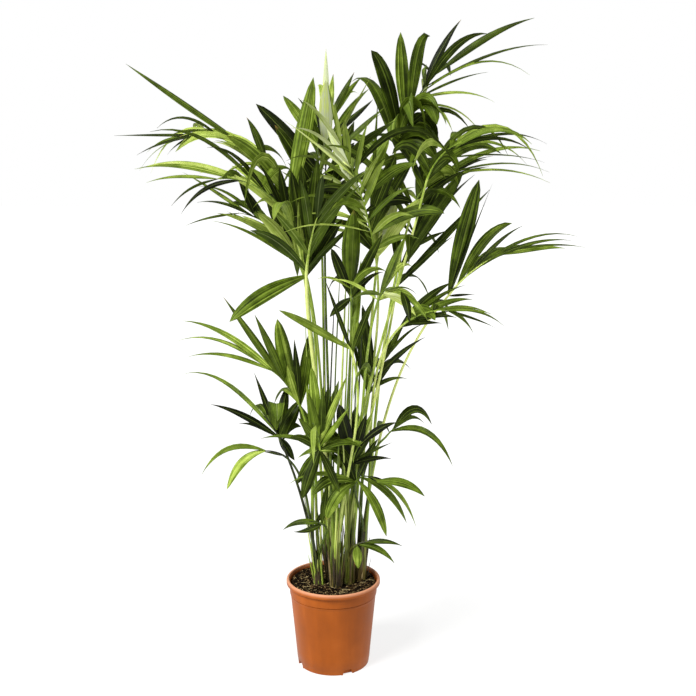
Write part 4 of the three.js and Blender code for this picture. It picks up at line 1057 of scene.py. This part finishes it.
def scatter_fibres(draw):
    """Straw-coloured fibres and old sheath strips, on the soil and standing round the stem feet."""
    blades = []
    for stem in STEMS:
        for _ in range(stem.strips):
            out = out_at(draw.uniform(0, math.tau))
            foot = Vector((*stem.foot, SOIL_TOP - PLANTED)) + out * draw.uniform(13, 17)
            lean = Vector((stem.top[0] - stem.foot[0], stem.top[1] - stem.foot[1], 74)).normalized()
            way = (lean + out * draw.uniform(-0.04, 0.1)).normalized()
            rings = blade_rings(foot, way, out, draw.uniform(28, 120), draw.uniform(4, 10), 0.02,
                                draw.uniform(-0.5, 0.5), 0.4, 0.6, 6)
            blades.append((rings, draw.uniform(0.15, 0.75) * (0.7 + 0.3 * stem.husk), 0))
    for _ in range(FIBRES):
        x, y = soil_place(FIBRE_REACH, draw)
        way = heading(draw.uniform(0, 360), draw.uniform(-3, 14))
        rings = blade_rings((x, y, soil_height(x, y) + 1.4), way, UP, draw.uniform(8, 30),
                            draw.uniform(1.1, 2.4), 0.1, 0.3, 0.2, 0.5, 5)
        blades.append((rings, draw.uniform(0.55, 1), 0))
    return join_blades("sheath_fibres", blades, [HUSK])


# Stems

def stem_ends(stem):
    return Vector((*stem.foot, SOIL_TOP - PLANTED)), Vector(stem.top)


def make_stem(index, draw):
    """The core of a stem: leaf sheaths wrapped round each other, with a ring scar where an old one fell."""
    stem = STEMS[index]
    foot, top = stem_ends(stem)
    height = (top - foot).length
    way = (top - foot).normalized()
    rings = []
    for k in range(STEM_RINGS + 1):
        share = k / STEM_RINGS
        flare = max(0, 1 - share * height / STEM_FLARE_HEIGHT) ** 1.5 * STEM_FLARE
        scar = sum(math.exp(-((share - place) * height / SCAR_WIDTH) ** 2) for place in SCARS)
        close = 1 - 0.55 * max(0, (share - 0.97) / 0.03)
        rings.append((foot + way * height * share, way, (stem.radius + flare + 0.7 * scar) * close))
    rings.append((foot + way * (height + 7), way, stem.radius * 0.25))
    piece = grow_limb(f"sheathed_stem_{index + 1}", rings, STEM_SIDES, [STALK])
    for vertex in piece.data.vertices:
        here = vertex.co / MM
        out = here - foot - way * (here - foot).dot(way)
        if out.length > 1:
            folds = 0.5 * math.sin(math.atan2(out.y, out.x) * 7 + here.z / 40)
            folds += 0.7 * noise.noise(Vector((out.x / 3, out.y / 3, here.z / 25)))
            vertex.co = (here + out.normalized() * folds) * MM
    bark_spray(piece, stem, stem.tone, draw)
    return piece


def join_rods(name, rods, materials, sides=7):
    """One mesh of many round shoots. A shoot is its centres, its radii, how brown and how bright it is."""
    points, faces, husks, tones = [], [], [], []
    for centres, radii, husk, tone in rods:
        base = len(points)
        last = len(centres) - 1
        for k, (centre, radius) in enumerate(zip(centres, radii)):
            way = (centres[min(k + 1, last)] - centres[max(k - 1, 0)]).normalized()
            across = way.orthogonal().normalized()
            over = way.cross(across)
            for j in range(sides):
                turn = j * math.tau / sides
                points.append((centre + (across * math.cos(turn) + over * math.sin(turn)) * radius) * MM)
        husks += [husk] * (len(points) - base)
        tones += [tone] * (len(points) - base)
        for k in range(last):
            here, there = base + k * sides, base + (k + 1) * sides
            faces += [(here + j, here + (j + 1) % sides, there + (j + 1) % sides, there + j)
                      for j in range(sides)]
        faces.append(tuple(base + j for j in range(sides - 1, -1, -1)))
        faces.append(tuple(base + last * sides + j for j in range(sides)))
    mesh = bpy.data.meshes.new(name)
    mesh.from_pydata(points, [], faces)
    spray(mesh, "husk", "POINT", husks)
    spray(mesh, "tone", "POINT", tones)
    return new_piece(name, mesh, materials, 60)


def tapered(thick, rings, taper, tip):
    """Radii from ring to ring: they shrink evenly, and the last three draw the shoot to a tip."""
    return [thick * (1 - taper * t / (rings - 1)) if t < rings - 3 else thick * tip * (rings - t)
            for t in range(rings)]


def shoots(draw):
    """Young shoots and the stubs of old stalks, close round the feet of the stems, and the tall spears."""
    rods = []
    for stem in STEMS:
        count, husk, tone = stem.shoots
        foot, top = stem_ends(stem)
        lean = (top - foot).normalized()
        for k in range(count):
            out = out_at((k + draw.uniform(-0.3, 0.3)) * math.tau / count)
            length = draw.uniform(60, 330) * draw.uniform(0.6, 1)
            thick = draw.uniform(1.6, 3.4)
            start = foot + out * draw.uniform(9, 13.5)
            way = (lean + out * draw.uniform(0, 0.09)).normalized()
            bend = Vector((draw.uniform(-1, 1), draw.uniform(-1, 1), 0)) * length * 0.05
            last = SHOOT_RINGS - 1
            centres = [start + way * length * t / last + bend * (t / last) ** 2 for t in range(SHOOT_RINGS)]
            rods.append((centres, tapered(thick, SHOOT_RINGS, 0.25, 0.24),
                         clamp(husk + draw.uniform(-0.35, 0.35)), clamp(tone + draw.uniform(-0.25, 0.25))))
    for index, end, thick, tone in SPEARS:
        start = Vector(STEMS[index].top) + out_at(draw.uniform(0, math.tau)) * 8 - UP * 25
        bow = Vector((draw.uniform(-1, 1), draw.uniform(-1, 1), 0)) * 9
        last = SPEAR_RINGS - 1
        centres = [start.lerp(Vector(end), t / last) + bow * math.sin(math.pi * t / last)
                   for t in range(SPEAR_RINGS)]
        rods.append((centres, tapered(thick, SPEAR_RINGS, 0.35, 0.2), 0, tone))
    return join_rods("young_shoots", rods, [STALK])


# The whole plant

def dress(piece, slot, *nodes):
    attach(piece, "root")
    if nodes:
        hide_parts(*nodes)


dress(make_pot(), "polypropylene", "pot")
dress(make_soil(), "peat", "soil")
dress(scatter_crumbs(random.Random(5)), "peat")
dress(scatter_fibres(random.Random(6)), "leaf_sheath")
dress(shoots(random.Random(8)), "leaf_sheath")
for number in range(len(STEMS)):
    dress(make_stem(number, random.Random(20 + number)), "leaf_sheath", f"stem_{number + 1}")
CURVES = place_stalks()
for one in FRONDS:
    draw = random.Random(int(one.name) * 31 + 7)
    limb = grow_limb(f"stalk_{one.name}", stalk_rings(one, CURVES[one.name]), STALK_SIDES, [STALK])
    bark_spray(limb, STEMS[one.stem], one.stalk, draw, one)
    dress(limb, "stalk", f"petiole_{one.name}")
    leaflets = join_blades(f"leaflets_{one.name}", frond_blades(one, draw), [LEAF, LEAF_UNDERSIDE])
    dress(leaflets, "leaf_blade", f"frond_{one.name}")


# Floor, light and camera

def make_floor():
    bm = bmesh.new()
    bmesh.ops.create_grid(bm, x_segments=1, y_segments=1, size=30)
    return from_bmesh("studio_floor", bm, [FLOOR])


make_floor()

# The lights: energy, how many degrees wide, and the way they shine
for name, energy, width, way in (("key", 4.6, 25, (1.6, 1.5, -2.2)), ("fill", 0.7, 40, (-1.8, 1.2, -0.5))):
    sun = bpy.data.lights.new(name, "SUN")
    sun.energy = energy
    sun.angle = math.radians(width)
    show(name, sun).rotation_euler = Vector(way).to_track_quat("-Z", "Y").to_euler()

# A white studio: full white where it is looked at, dimmer as the light that it gives
world = bpy.data.worlds.new("studio_white")
world.use_nodes = True
sky = world.node_tree
sky.nodes.clear()
seen = add(sky, "LightPath").outputs["Is Camera Ray"]
white = add(sky, "MapRange", {"To Min": 0.4, "To Max": 1}, {"Value": seen})
shine = add(sky, "Background", {"Color": (1, 1, 1, 1)}, {"Strength": white})
add(sky, "OutputWorld", links={"Surface": shine})
bpy.context.scene.world = world
bpy.context.scene.view_settings.view_transform = "Standard"

# The photograph's view: a 53.6 mm lens on a 36 mm frame, 1.27 m up and looking 10 degrees down
PHOTO_WIDTH_PIXELS = 696
FOCAL_PIXELS = 1037
lens = bpy.data.cameras.new("view")
lens.sensor_width = 36
lens.lens = lens.sensor_width * FOCAL_PIXELS / PHOTO_WIDTH_PIXELS
camera = show("view", lens)
camera.location = (0.0377, -2.522, 1.268)
camera.rotation_euler = (math.radians(80), 0, 0)
bpy.context.scene.camera = camera
